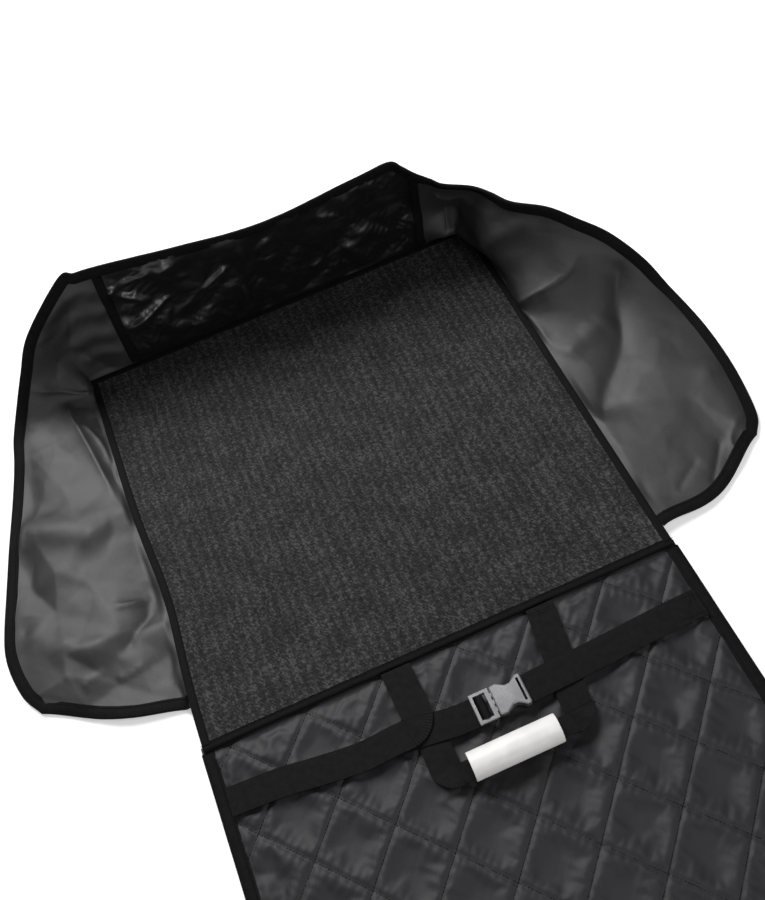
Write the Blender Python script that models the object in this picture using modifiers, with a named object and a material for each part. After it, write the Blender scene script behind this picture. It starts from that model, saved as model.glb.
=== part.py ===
"""Front-seat cover for a dog: quilted seat and back panels, a standing front panel,
two side flaps, bound edges, webbing straps with a side-release buckle, and an anchor tube.

Metres, +Z up, +Y towards the standing front panel. The origin is the centre of the
seat panel's lower face, on the floor.
"""
import bisect
import math

import bmesh
import bpy
from mathutils import Matrix, Vector

COLLECTION = "dog_car_seat_cover"

# Panels
SEAT_WIDTH = 0.53          # between the two side seams
SEAT_DEPTH = 0.522         # from the front seam to the cross seam
PAD_THICKNESS = 0.009
BACK_WIDTH = 0.541
BACK_LENGTH = 0.555
MESH_THICKNESS = 0.0010
RIB_HEIGHT = 0.0005
RIB_PITCH = 0.012

# Quilting
QUILT_HALF_X = 0.042       # half a diamond, across the panel
QUILT_HALF_Y = 0.047       # half a diamond, along the panel
QUILT_NODE_X = 0.180       # one crossing of the back panel's stitch lines
QUILT_NODE_Y = -0.106      # the same crossing, from the cross seam
STITCH_SLOPE = 0.014       # width of the slope from a stitch line up to a flat crown
STITCH_DEPTH = 0.0030

# Skirt: standing front panel and side flaps
SKIRT_HEIGHT = 0.166
FLAP_WIDTH = 0.180
LEFT_FLAP_LENGTH = 0.478
RIGHT_FLAP_LENGTH = 0.507
FLAP_THICKNESS = 0.0016
WALL_THICKNESS = 0.0052
EDGE_BOW = 0.010           # the flaps' near edges bow outward by this
FRONT_BULGE = 0.004        # the standing panel bows forward by this

# Bindings and tapes
TAPE_THICKNESS = 0.0008
BINDING_WIDTH = 0.013
PINCHED_THICKNESS = 0.0022  # a quilted edge squeezed in its binding
SEAM_TAPE_WIDTH = 0.009
SEAM_GAP = 0.0009           # between cloth edges that a tape joins
CROSS_TAPE_WIDTH = 0.008
CROSS_TAPE_RISE = 0.0006   # over the mesh
CROSS_TAPE_ROUND = 0.0012

# Straps
WEBBING_WIDTH = 0.031
WEBBING_THICKNESS = 0.0014
CROSS_STRAP_Y = -0.087     # cross strap's middle line, from the cross seam
HEAD_STRAP_Y = 0.090       # headrest strap's middle line, from the far end of the back
ANCHOR_SEAM_X = (-0.054, 0.108)   # middles of the anchor strap's legs at the cross seam
ANCHOR_TURN_X = (-0.049, 0.096)   # the same where they turn into the tube
ANCHOR_TURN_RADIUS = 0.002        # inner edge of the turn
TUBE_LENGTH = 0.093
TUBE_RADIUS = 0.0145
TUBE_WALL = 0.0022
TUBE_Y = -0.139            # tube's axis, from the cross seam
TUBE_X = 0.020
TUBE_SIDES = 24
TURN_STEPS = 4
BORE_REACH = 0.8           # the webbing's half width in the tube, as a share of the bore
BORE_LEVEL = 0.4           # its depth below the tube's axis, as a share of the bore

# Buckle
BUCKLE_X = 0.0275          # middle of the buckle
BUCKLE_LENGTH = 0.056
BUCKLE_WIDTH = 0.033
BUCKLE_THICKNESS = 0.0095
SOCKET_LENGTH = 0.034
BUCKLE_WALL = 0.0018
SOCKET_ROUND = 0.0012
PLUG_ROUND = 0.0006
# Outlines and cuts, as shares of the socket's length from its mouth and of half the width
SOCKET_OUTLINE = ((0.0, 0.94), (0.235, 0.97), (0.353, 0.818), (0.471, 0.667), (0.618, 0.667),
                  (0.735, 0.818), (0.853, 1.0), (1.0, 1.0))
SOCKET_HOLLOW = (0.765, 0.76)
SOCKET_WINDOW = (0.324, 0.765)
WINDOW_DEPTH = 0.303
SOCKET_SLOT = (0.838, 0.912, 0.758)
PRONG_OUTLINE = ((0.0, 1.0), (0.0, 0.636), (0.176, 0.594), (0.356, 0.594), (0.532, 0.63),
                 (0.709, 0.412), (0.679, 0.261), (0.282, 0.321), (0.0, 0.321), (0.0, 0.152),
                 (0.621, 0.121))
# Slots of the plug, as shares of the buckle's length from its end and of half the width
PLUG_SLOTS = ((0.0625, 0.143, 0.788), (0.196, 0.295, 0.788))

CLEARANCE = 0.0003         # between pieces that touch
MERGE_DISTANCE = 0.00002
FLOOR_CLEARANCE = 0.0012   # hems lie this far above the crowns' level

# Levels and edges that follow from the sizes above
SIDE_X = SEAT_WIDTH / 2
FRONT_Y = SEAT_DEPTH / 2
CROSS_Y = -SEAT_DEPTH / 2
BACK_END_Y = CROSS_Y - BACK_LENGTH
MESH_Z = PAD_THICKNESS + CLEARANCE
MESH_TOP = MESH_Z + MESH_THICKNESS + RIB_HEIGHT
STRAP_Z = PAD_THICKNESS + CLEARANCE
SLOT_HALF = PINCHED_THICKNESS / 2 + 2 * CLEARANCE
BINDING_HALF = SLOT_HALF + TAPE_THICKNESS
HEM_Z = BINDING_HALF + FLOOR_CLEARANCE
SEAM_Z = PAD_THICKNESS * 2 / 3
SEAM_OUT = PINCHED_THICKNESS / 2 + 2 * CLEARANCE


def clear_scene():
    """Remove every object of the scene."""
    for obj in list(bpy.data.objects):
        bpy.data.objects.remove(obj, do_unlink=True)


def material(name, colour, roughness, metallic=0.0):
    """Principled material of one colour."""
    mat = bpy.data.materials.new(name)
    mat.use_nodes = True
    shader = mat.node_tree.nodes["Principled BSDF"]
    shader.inputs["Base Color"].default_value = (*colour, 1.0)
    shader.inputs["Roughness"].default_value = roughness
    shader.inputs["Metallic"].default_value = metallic
    return mat


def add_object(name, bm, mat):
    """Turn a bmesh into a named object of the part's collection."""
    bmesh.ops.recalc_face_normals(bm, faces=bm.faces[:])
    if bm.calc_volume(signed=True) < 0.0:
        bmesh.ops.reverse_faces(bm, faces=bm.faces[:])
    mesh = bpy.data.meshes.new(name)
    bm.to_mesh(mesh)
    bm.free()
    mesh.materials.append(mat)
    obj = bpy.data.objects.new(name, mesh)
    bpy.data.collections[COLLECTION].objects.link(obj)
    return obj


def guide_point(name, place):
    """Empty object that a modifier turns or mirrors about."""
    guide = bpy.data.objects.new(name, None)
    guide.location = place
    bpy.data.collections[COLLECTION].objects.link(guide)
    return guide


def smooth_path(points, steps):
    """Catmull-Rom curve through the points, with this many steps to each span."""
    points = [Vector(p) for p in points]
    ends = [2 * points[0] - points[1]] + points + [2 * points[-1] - points[-2]]
    path = []
    for a, b, c, d in zip(ends, ends[1:], ends[2:], ends[3:]):
        for i in range(steps):
            t = i / steps
            path.append(0.5 * (2 * b + (c - a) * t + (2 * a - 5 * b + 4 * c - d) * t * t
                               + (3 * b - a - 3 * c + d) * t ** 3))
    path.append(points[-1])
    return path


def skin(bm, rings):
    """Closed skin over rings of equally many points, with a cap at each end."""
    loops = [[bm.verts.new(p) for p in ring] for ring in rings]
    for low, high in zip(loops, loops[1:]):
        count = len(low)
        for i in range(count):
            j = (i + 1) % count
            bm.faces.new((low[i], low[j], high[j], high[i]))
    bm.faces.new(loops[0])
    bm.faces.new(loops[-1])


def swept(name, sections, mat):
    """Solid through a row of cross-sections."""
    bm = bmesh.new()
    skin(bm, sections)
    bmesh.ops.triangulate(bm, faces=[f for f in bm.faces if len(f.verts) == 4],
                          quad_method="FIXED")
    return add_object(name, bm, mat)


def box(name, low, high, mat, bevel=0.0):
    """Box between two corners, with its edges rounded by a Bevel modifier."""
    bm = bmesh.new()
    bmesh.ops.create_cube(bm, size=1.0)
    size = Vector(high) - Vector(low)
    bmesh.ops.scale(bm, vec=size, verts=bm.verts)
    bmesh.ops.translate(bm, vec=(Vector(low) + Vector(high)) / 2, verts=bm.verts)
    obj = add_object(name, bm, mat)
    if bevel > 0.0:
        modifier = obj.modifiers.new("rounded", "BEVEL")
        modifier.width = min(bevel, min(size) * 0.4)
        modifier.segments = 1
    return obj


def cut_lines(bm, axis, places):
    """Add an edge loop across the sheet at each place along an axis."""
    normal = Vector((1, 0, 0)) if axis == 0 else Vector((0, 1, 0))
    for place in places:
        geometry = bm.verts[:] + bm.edges[:] + bm.faces[:]
        bmesh.ops.bisect_plane(bm, geom=geometry, plane_co=normal * place, plane_no=normal)


def trim(bm, low, high):
    """Cut the sheet back to a rectangle."""
    for axis in (0, 1):
        for place, side in ((low[axis], -1), (high[axis], 1)):
            normal = Vector((0, 0, 0))
            normal[axis] = side
            geometry = bm.verts[:] + bm.edges[:] + bm.faces[:]
            bmesh.ops.bisect_plane(bm, geom=geometry, plane_co=normal * side * place,
                                   plane_no=normal, clear_outer=True)


def quilted_sheet(low, high, node):
    """Open sheet of diamond cells that rise from their stitch lines at z = 0."""
    reach = max(high[0] - low[0], high[1] - low[1]) + 2 * max(QUILT_HALF_X, QUILT_HALF_Y)
    cells = 2 * math.ceil(reach / (2 * min(QUILT_HALF_X, QUILT_HALF_Y)) + 1)
    centre = [(low[k] + high[k]) / 2 for k in (0, 1)]
    pitch = (2 * QUILT_HALF_X, 2 * QUILT_HALF_Y)
    start = [node[k] + pitch[k] * round((centre[k] - node[k]) / pitch[k]) for k in (0, 1)]
    bm = bmesh.new()
    bmesh.ops.create_grid(bm, x_segments=cells, y_segments=cells, size=cells / 2)
    bmesh.ops.rotate(bm, matrix=Matrix.Rotation(math.pi / 4, 3, "Z"), verts=bm.verts)
    diagonal = math.sqrt(2.0)
    bmesh.ops.scale(bm, vec=(pitch[0] / diagonal, pitch[1] / diagonal, 1), verts=bm.verts)
    bmesh.ops.translate(bm, vec=(start[0], start[1], 0), verts=bm.verts)
    margin = max(pitch)
    trim(bm, [low[0] - margin, low[1] - margin], [high[0] + margin, high[1] + margin])
    whole = [f for f in bm.faces if len(f.verts) == 4]
    bmesh.ops.inset_individual(bm, faces=whole, thickness=STITCH_SLOPE, depth=STITCH_DEPTH,
                               use_even_offset=True)
    trim(bm, low, high)
    return bm


def close_down(bm, level):
    """Drop the sheet's rim to a level and return the new rim."""
    rim = [e for e in bm.edges if e.is_boundary]
    extruded = bmesh.ops.extrude_edge_only(bm, edges=rim)["geom"]
    for vert in (v for v in extruded if isinstance(v, bmesh.types.BMVert)):
        vert.co.z = level
    return [e for e in extruded if isinstance(e, bmesh.types.BMEdge) and e.is_boundary]


def seat_pad(mat):
    """Seat panel: quilted below, with flat crowns on the floor, and plain on top."""
    low = (-SIDE_X + CLEARANCE, CROSS_Y + CLEARANCE)
    high = (SIDE_X - CLEARANCE, FRONT_Y - CLEARANCE)
    bm = quilted_sheet(low, high, (QUILT_HALF_X, 0.0))
    bmesh.ops.scale(bm, vec=(1, 1, -1), verts=bm.verts)
    bmesh.ops.translate(bm, vec=(0, 0, STITCH_DEPTH), verts=bm.verts)
    rim = close_down(bm, PAD_THICKNESS)
    bmesh.ops.contextual_create(bm, geom=rim)
    return add_object("seat_pad", bm, mat)


def pinch_edges(bm, edges, strip, half):
    """Flatten a strip along each listed edge to the pinched thickness."""
    for axis, place, side in edges:
        cut_lines(bm, axis, [place - side * strip])
    for vert in bm.verts:
        for axis, place, side in edges:
            if side * (vert.co[axis] - place) > -strip - 1e-6:
                vert.co.z = half


def back_pad(mat):
    """Back panel, quilted on both sides, its edges pinched for the bindings."""
    half_x = BACK_WIDTH / 2 - TAPE_THICKNESS - CLEARANCE
    low = (-half_x, BACK_END_Y + TAPE_THICKNESS + CLEARANCE)
    high = (half_x, CROSS_Y - CLEARANCE)
    bm = quilted_sheet(low, high, (QUILT_NODE_X, CROSS_Y + QUILT_NODE_Y))
    middle = PAD_THICKNESS / 2
    bmesh.ops.translate(bm, vec=(0, 0, middle - STITCH_DEPTH), verts=bm.verts)
    strip = BINDING_WIDTH + CLEARANCE
    edges = [(0, low[0], -1), (0, high[0], 1), (1, low[1], -1), (1, high[1], 1)]
    pinch_edges(bm, edges, strip, PINCHED_THICKNESS / 2)
    close_down(bm, 0.0)
    bmesh.ops.translate(bm, vec=(0, 0, middle), verts=bm.verts)
    obj = add_object("back_pad", bm, mat)
    mirror = obj.modifiers.new("lower_side", "MIRROR")
    mirror.use_axis = (False, False, True)
    mirror.mirror_object = guide_point("back_pad_middle", (0, 0, middle))
    mirror.merge_threshold = MERGE_DISTANCE
    return obj


def seat_mesh(mat):
    """Non-slip mesh on the seat panel, with raised ribs along its length."""
    inset = 2 * CLEARANCE
    width = SEAT_WIDTH - 2 * inset
    ribs = max(2, round(width / RIB_PITCH))
    pitch = width / ribs
    top = []
    for i in range(ribs):
        left = -width / 2 + i * pitch
        top += [(left, MESH_THICKNESS), (left + pitch / 2, MESH_THICKNESS + RIB_HEIGHT)]
    top.append((width / 2, MESH_THICKNESS))
    outline = [(-width / 2, 0.0)] + top + [(width / 2, 0.0)]
    ends = (CROSS_Y + inset, FRONT_Y - inset)
    rings = [[(x, y, MESH_Z + z) for x, z in outline] for y in ends]
    return swept("seat_mesh", rings, mat)


class Skirt:
    """Shape of the standing front panel and the side flaps.

    Each station is a rib of cloth: a point on the seat's seam, a belly point
    half way out, and a point on the hem. Stations run from the left flap's near
    end, round the front, to the right flap's near end.
    """

    # Per rib, counted from a far seat corner: share of the side seam, hem's share along,
    # out and up, then the belly's lift and the inward bulge as shares of the skirt's
    # height. The first rib is the flap's near edge.
    LEFT = ((1.000, 0.860, 0.850, 0.000, 0.0000, 0.0000),
            (0.880, 0.800, 0.940, 0.000, 0.0241, 0.0000),
            (0.740, 0.700, 0.990, 0.000, 0.0422, 0.0000),
            (0.600, 0.596, 0.950, 0.000, 0.0422, 0.0000),
            (0.440, 0.431, 0.845, 0.004, 0.0542, 0.0000),
            (0.265, 0.253, 0.720, 0.018, 0.0542, 0.0000),
            (0.170, 0.175, 0.655, 0.055, 0.0602, 0.0000),
            (0.110, 0.108, 0.580, 0.105, 0.0602, 0.0000),
            (0.066, 0.055, 0.470, 0.235, 0.0602, 0.0000),
            (0.032, 0.020, 0.330, 0.455, 0.0361, 0.0000),
            (0.000, 0.000, 0.135, 0.740, 0.0241, 0.0000))
    RIGHT = ((1.000, 0.870, 0.860, 0.000, 0.0000, 0.0000),
             (0.900, 0.815, 0.925, 0.000, 0.0241, 0.0000),
             (0.780, 0.730, 0.975, 0.000, 0.0422, 0.0000),
             (0.650, 0.630, 1.000, 0.000, 0.0422, 0.0000),
             (0.530, 0.535, 1.000, 0.000, 0.0482, 0.0000),
             (0.430, 0.440, 0.960, 0.035, 0.0723, 0.0000),
             (0.365, 0.380, 0.850, 0.240, 0.0723, 0.0000),
             (0.310, 0.335, 0.655, 0.500, 0.0241, 0.0241),
             (0.250, 0.296, 0.470, 0.650, -0.0241, 0.0723),
             (0.190, 0.257, 0.310, 0.750, -0.0482, 0.1084),
             (0.130, 0.199, 0.130, 0.750, -0.0361, 0.1205),
             (0.060, 0.148, 0.050, 0.750, -0.0241, 0.1084),
             (0.000, 0.105, -0.040, 0.750, 0.0000, 0.0723))
    # Per rib: share across the front seam, then as shares of the skirt's height the
    # hem's lean inward, its height and its shift sideways
    LEFT_CORNER = ((0.040, -0.1084, 1.000, 0.1205),
                   (0.080, -0.0964, 0.990, 0.0843))
    FRONT = ((0.121, -0.0843, 0.980, 0.0723),
             (0.200, -0.0482, 0.960, 0.0602),
             (0.320, 0.0060, 0.940, 0.0482),
             (0.440, 0.0602, 0.925, 0.0241),
             (0.560, 0.0783, 0.925, 0.0000),
             (0.680, 0.0542, 0.940, -0.0060),
             (0.780, 0.0422, 0.960, -0.0120),
             (0.835, 0.0602, 0.985, -0.0120),
             (0.858, 0.1024, 0.945, -0.0181),
             (0.879, 0.1506, 0.890, -0.0181))
    RIGHT_CORNER = ((0.920, 0.1807, 0.800, -0.0422),
                    (0.960, 0.2289, 0.752, -0.0964))
    STEPS = 2
    SHARES = (0.0, 0.07, 0.25, 0.5, 0.75, 0.92, 1.0)
    NUDGE = 0.02               # step in share that gives a rib's direction
    MITRE = 1.3                # a tape's reach into the cloth at a flap's corner

    def __init__(self):
        """Work out the stations in metres and refine them to smooth guide lines."""
        left = [self.side_station(row, -1, LEFT_FLAP_LENGTH) for row in self.LEFT]
        right = [self.side_station(row, 1, RIGHT_FLAP_LENGTH) for row in self.RIGHT]
        front = [self.front_station(row) for row in self.FRONT]
        left += [self.front_station(row) for row in self.LEFT_CORNER]
        right = [self.front_station(row) for row in self.RIGHT_CORNER] + right[::-1]
        stations = left + front + right
        places, bellies, hems, bulges = (smooth_path(line, self.STEPS)
                                         for line in zip(*stations))
        for point in hems + bellies:
            point.z = max(point.z, HEM_Z)
        seams = [self.seam_point(place.x) for place in places]
        self.ribs = list(zip(seams, bellies, hems, bulges))
        self.left_end = len(left) * self.STEPS
        self.right_start = (len(left) + len(front) - 1) * self.STEPS

    @staticmethod
    def seam_point(place):
        """Point of the seam at a distance from the middle of the front, to the right."""
        edge_x = SIDE_X + SEAM_OUT
        edge_y = FRONT_Y + SEAM_OUT
        if abs(place) <= SIDE_X:
            return Vector((place * edge_x / SIDE_X, edge_y, SEAM_Z))
        return Vector((math.copysign(edge_x, place), edge_y - (abs(place) - SIDE_X), SEAM_Z))

    def side_station(self, row, side, length):
        """Rib of a side flap."""
        seam_share, along, out, up, lift, inward = row
        place = side * (SIDE_X + seam_share * length)
        seam = self.seam_point(place)
        hem = Vector((side * (SIDE_X + SEAM_OUT + out * FLAP_WIDTH), FRONT_Y - along * length,
                      HEM_Z + up * SKIRT_HEIGHT))
        belly = self.belly(seam, hem, up) + Vector((0, 0, lift * SKIRT_HEIGHT))
        bow = EDGE_BOW if seam_share == 1.0 else 0.0
        bulge = Vector((-side * inward * SKIRT_HEIGHT, -bow, 0))
        return Vector((place, 0, 0)), belly, hem, bulge

    def front_station(self, row):
        """Rib of the front panel or of a flap's turn round the corner."""
        share, inward, up, sideways = row
        place = (share - 0.5) * SEAT_WIDTH
        seam = self.seam_point(place)
        hem = seam + Vector((sideways, -inward, up)) * SKIRT_HEIGHT
        bulge = Vector((0, FRONT_BULGE, 0))
        return Vector((place, 0, 0)), self.belly(seam, hem, up), hem, bulge

    @staticmethod
    def belly(seam, hem, up):
        """Point half way out, nearer to the seam in plan where the cloth stands up."""
        lean = 0.5 - 0.2 * min(up / 0.5, 1.0)
        point = seam.lerp(hem, lean)
        point.z = (seam.z + hem.z) / 2
        return point

    @staticmethod
    def at(rib, share):
        """Point of a rib, from its seam at 0 to its hem at 1."""
        seam, belly, hem, bulge = rib
        middle = 4 * share * (1 - share)
        return (seam * (1 - share) * (1 - 2 * share) + belly * middle
                + hem * share * (2 * share - 1) + bulge * middle * middle)

    def edge_line(self, end):
        """Near edge of a flap from its seam outward, with points a tape's width inside."""
        rib, following = (self.ribs[0], self.ribs[1]) if end == 0 else self.ribs[:-3:-1]
        line = []
        for share in self.SHARES[1:-1]:
            point = self.at(rib, share)
            inward = self.at(following, share) - point
            line.append((point, point + inward.normalized() * BINDING_WIDTH))
        return line

    def border(self):
        """Frames round the whole hem: edge, inner point and the cloth's normal at each."""
        inner_share = self.SHARES[-2]
        hem = [(rib[2], self.at(rib, inner_share)) for rib in self.ribs]
        line = self.edge_line(0) + hem + self.edge_line(-1)[::-1]
        steps = len(self.SHARES) - 2
        for corner in (steps, len(line) - 1 - steps):
            point = line[corner][0]
            around = (line[corner - 1][1] - line[corner - 1][0]).normalized()
            around += (line[corner + 1][1] - line[corner + 1][0]).normalized()
            line[corner] = (point, point + around.normalized() * BINDING_WIDTH * self.MITRE)
        frames = []
        for i, (point, inner) in enumerate(line):
            before = line[max(i - 1, 0)]
            after = line[min(i + 1, len(line) - 1)]
            into = (inner - point).normalized()
            normals = [(after[k] - before[k]).cross(into).normalized() for k in (0, 1)]
            frames.append((point, inner, *normals))
        return frames

    def grid(self, first, last):
        """Rows of points over the stations from first to last."""
        return [[self.at(self.ribs[i], s) for s in self.SHARES] for i in range(first, last + 1)]


def sheet_solid(name, rows, thickness, mat):
    """Closed sheet of even thickness whose middle surface goes through the rows."""
    bm = bmesh.new()
    verts = [[bm.verts.new(p) for p in row] for row in rows]
    for low, high in zip(verts, verts[1:]):
        for j in range(len(low) - 1):
            bm.faces.new((low[j], high[j], high[j + 1], low[j + 1]))
    bmesh.ops.triangulate(bm, faces=bm.faces[:], quad_method="FIXED")
    obj = add_object(name, bm, mat)
    solidify = obj.modifiers.new("cloth", "SOLIDIFY")
    solidify.thickness = thickness
    solidify.offset = 0.0
    solidify.use_even_offset = True
    solidify.use_quality_normals = True
    return obj


def side_flap(name, skirt, first, last, mat):
    """Coated-cloth flap, from the seat's seam out to its hem."""
    return sheet_solid(name, skirt.grid(first, last), FLAP_THICKNESS, mat)


def front_panel(skirt, mat):
    """Quilted panel that stands along the front seam, bent to the skirt's shape."""
    first = skirt.left_end
    last = skirt.right_start
    arcs = [0.0]
    for near, far in zip(skirt.ribs[first:last], skirt.ribs[first + 1:last + 1]):
        arcs.append(arcs[-1] + (skirt.at(far, 0.5) - skirt.at(near, 0.5)).length)
    width = arcs[-1]
    low = (SEAM_GAP, SEAM_GAP)
    high = (width - SEAM_GAP, SKIRT_HEIGHT)
    bm = quilted_sheet(low, high, (width / 2, 0.0))
    rise = WALL_THICKNESS / 2
    scale = (rise - FLAP_THICKNESS / 2) / STITCH_DEPTH
    for vert in bm.verts:
        vert.co.z = FLAP_THICKNESS / 2 + vert.co.z * scale
    strip = BINDING_WIDTH + CLEARANCE
    edges = [(0, low[0], -1), (0, high[0], 1), (1, low[1], -1), (1, high[1], 1)]
    pinch_edges(bm, edges, strip, FLAP_THICKNESS / 2)
    close_down(bm, 0.0)
    double = bmesh.ops.duplicate(bm, geom=bm.verts[:] + bm.edges[:] + bm.faces[:])["geom"]
    lower = [v for v in double if isinstance(v, bmesh.types.BMVert)]
    bmesh.ops.scale(bm, vec=(1, 1, -1), verts=lower)
    bmesh.ops.remove_doubles(bm, verts=bm.verts, dist=MERGE_DISTANCE)
    cut_lines(bm, 0, arcs[1:-1])
    for vert in bm.verts:
        index = min(max(bisect.bisect(arcs, vert.co.x) - 1, 0), last - first - 1)
        fraction = (vert.co.x - arcs[index]) / (arcs[index + 1] - arcs[index])
        share = vert.co.y / SKIRT_HEIGHT
        near, far = skirt.ribs[first + index], skirt.ribs[first + index + 1]
        point = skirt.at(near, share).lerp(skirt.at(far, share), fraction)
        across = skirt.at(far, share) - skirt.at(near, share)
        upward = skirt.at(near, share + skirt.NUDGE) - skirt.at(near, share - skirt.NUDGE)
        normal = across.cross(upward).normalized()
        vert.co = point + normal * vert.co.z
    return add_object("front_panel", bm, mat)


def channel(edge, inner, edge_normal, inner_normal):
    """Section of a tape folded over a cloth edge, open towards the cloth."""
    outward = (edge - inner).normalized()
    fold = edge + outward * CLEARANCE
    back = fold + outward * TAPE_THICKNESS
    return [inner - inner_normal * BINDING_HALF, back - edge_normal * BINDING_HALF,
            back + edge_normal * BINDING_HALF, inner + inner_normal * BINDING_HALF,
            inner + inner_normal * SLOT_HALF, fold + edge_normal * SLOT_HALF,
            fold - edge_normal * SLOT_HALF, inner - inner_normal * SLOT_HALF]


def skirt_binding(skirt, mat):
    """One tape folded over the hem of both flaps and the front panel."""
    return swept("skirt_binding", [channel(*frame) for frame in skirt.border()], mat)


def corner_tape(name, skirt, index, mat):
    """Tape over the seam between the front panel and a flap, on the inner face."""
    rib = skirt.ribs[index]
    lift = FLAP_THICKNESS / 2 + 2 * CLEARANCE
    sections = []
    for share in skirt.SHARES[1:-2] + (skirt.SHARES[-2] - skirt.NUDGE,):
        point = skirt.at(rib, share)
        upward = (skirt.at(rib, share + skirt.NUDGE) - point).normalized()
        low, high = [], []
        for neighbour, side in ((skirt.ribs[index - 1], -1), (rib, 0), (skirt.ribs[index + 1], 1)):
            across = (skirt.at(skirt.ribs[index + (side or 1)], share) - point) * (side or 1)
            reach = BINDING_WIDTH / 2 / across.length
            place = point.lerp(skirt.at(neighbour, share), reach if side else 0.0)
            inward = across.cross(upward).normalized()
            low.append(place + inward * lift)
            high.append(place + inward * (lift + TAPE_THICKNESS))
        sections.append(low + high[::-1])
    return swept(name, sections, mat)


def seam_tapes(mat):
    """Tapes that cover the mesh's edges on three sides of the seat."""
    low_z = MESH_TOP + CLEARANCE
    high_z = low_z + TAPE_THICKNESS
    inner = SIDE_X - SEAM_TAPE_WIDTH
    end_y = FRONT_Y - SEAM_TAPE_WIDTH - CLEARANCE
    start_y = CROSS_Y + CROSS_TAPE_WIDTH / 2
    box("seat_tape_left", (-SIDE_X, start_y, low_z), (-inner, end_y, high_z), mat)
    box("seat_tape_right", (inner, start_y, low_z), (SIDE_X, end_y, high_z), mat)
    box("seat_tape_front", (-SIDE_X, end_y + CLEARANCE, low_z),
        (SIDE_X, FRONT_Y - 4 * CLEARANCE, high_z), mat)


def cross_binding(mat):
    """Binding over the seam between the seat and the back panel."""
    low = (-SIDE_X, CROSS_Y - CROSS_TAPE_WIDTH, PAD_THICKNESS / 2 + SLOT_HALF)
    high = (SIDE_X, CROSS_Y - CLEARANCE, MESH_TOP + CROSS_TAPE_RISE)
    return box("cross_binding", low, high, mat, bevel=CROSS_TAPE_ROUND)


def back_binding(mat):
    """Tape folded over both sides and the far end of the back panel."""
    middle = PAD_THICKNESS / 2
    half = BACK_WIDTH / 2 - TAPE_THICKNESS - CLEARANCE
    end = BACK_END_Y + TAPE_THICKNESS + CLEARANCE
    start = CROSS_Y - CROSS_TAPE_WIDTH - CLEARANCE
    width = BINDING_WIDTH
    up = Vector((0, 0, 1))
    corners = (((-half, start), (-half + width, start)),
               ((-half, end), (-half + width, end + width)),
               ((half, end), (half - width, end + width)),
               ((half, start), (half - width, start)))
    sections = [channel(Vector((*edge, middle)), Vector((*inner, middle)), up, up)
                for edge, inner in corners]
    return swept("back_binding", sections, mat)


def webbing(name, rows, mat):
    """Webbing whose lower face runs through rows of its two edges' points."""
    bm = bmesh.new()
    verts = [[bm.verts.new(p) for p in row] for row in rows]
    for low, high in zip(verts, verts[1:]):
        bm.faces.new((low[0], low[1], high[1], high[0]))
    bmesh.ops.triangulate(bm, faces=bm.faces[:], quad_method="FIXED")
    raised = bmesh.ops.extrude_face_region(bm, geom=bm.faces[:])["geom"]
    for vert in (v for v in raised if isinstance(v, bmesh.types.BMVert)):
        vert.co.z += WEBBING_THICKNESS
    return add_object(name, bm, mat)


def anchor_strap(mat):
    """Webbing that leaves the cross seam, passes through the tube and returns."""
    start = CROSS_Y - CROSS_TAPE_WIDTH - CLEARANCE
    tube_y = CROSS_Y + TUBE_Y
    bore = TUBE_RADIUS - TUBE_WALL
    inside_z = STRAP_Z + TUBE_RADIUS + CLEARANCE - BORE_LEVEL * bore
    half = WEBBING_WIDTH / 2
    half_in = BORE_REACH * bore
    rows = []
    for side in (0, 1):
        inward = 1 - 2 * side
        seam_x, turn_x = ANCHOR_SEAM_X[side], ANCHOR_TURN_X[side]
        pivot = (turn_x + inward * (half + ANCHOR_TURN_RADIUS),
                 tube_y + half_in + ANCHOR_TURN_RADIUS)
        leg = [((seam_x - inward * half, start, STRAP_Z), (seam_x + inward * half, start, STRAP_Z))]
        for step in range(TURN_STEPS + 1):
            share = step / TURN_STEPS
            angle = share * math.pi / 2
            reach = ANCHOR_TURN_RADIUS + WEBBING_WIDTH + share * (2 * half_in - WEBBING_WIDTH)
            level = STRAP_Z + (inside_z - STRAP_Z) * share
            leg.append([(pivot[0] - inward * r * math.cos(angle), pivot[1] - r * math.sin(angle),
                         level) for r in (reach, ANCHOR_TURN_RADIUS)])
        rows += leg if side == 0 else leg[::-1]
    return webbing("anchor_strap", rows, mat)


def anchor_tube(mat):
    """Rigid tube that stops the anchor strap behind the seat cushion."""
    axis = Vector((TUBE_X, CROSS_Y + TUBE_Y, STRAP_Z + TUBE_RADIUS + CLEARANCE))
    bm = bmesh.new()
    corners = [bm.verts.new(axis + Vector((x * TUBE_LENGTH / 2, 0, radius)))
               for x, radius in ((-1, TUBE_RADIUS - TUBE_WALL), (1, TUBE_RADIUS - TUBE_WALL),
                                 (1, TUBE_RADIUS), (-1, TUBE_RADIUS))]
    for near, far in zip(corners, corners[1:] + corners[:1]):
        bm.edges.new((near, far))
    obj = add_object("anchor_tube", bm, mat)
    turned = obj.modifiers.new("turned", "SCREW")
    turned.object = guide_point("anchor_tube_axis", axis)
    turned.axis = "X"
    turned.steps = TUBE_SIDES
    turned.render_steps = TUBE_SIDES
    turned.use_merge_vertices = True
    turned.merge_threshold = MERGE_DISTANCE
    turned.use_normal_calculate = True
    turned.use_normal_flip = True
    return obj


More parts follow.
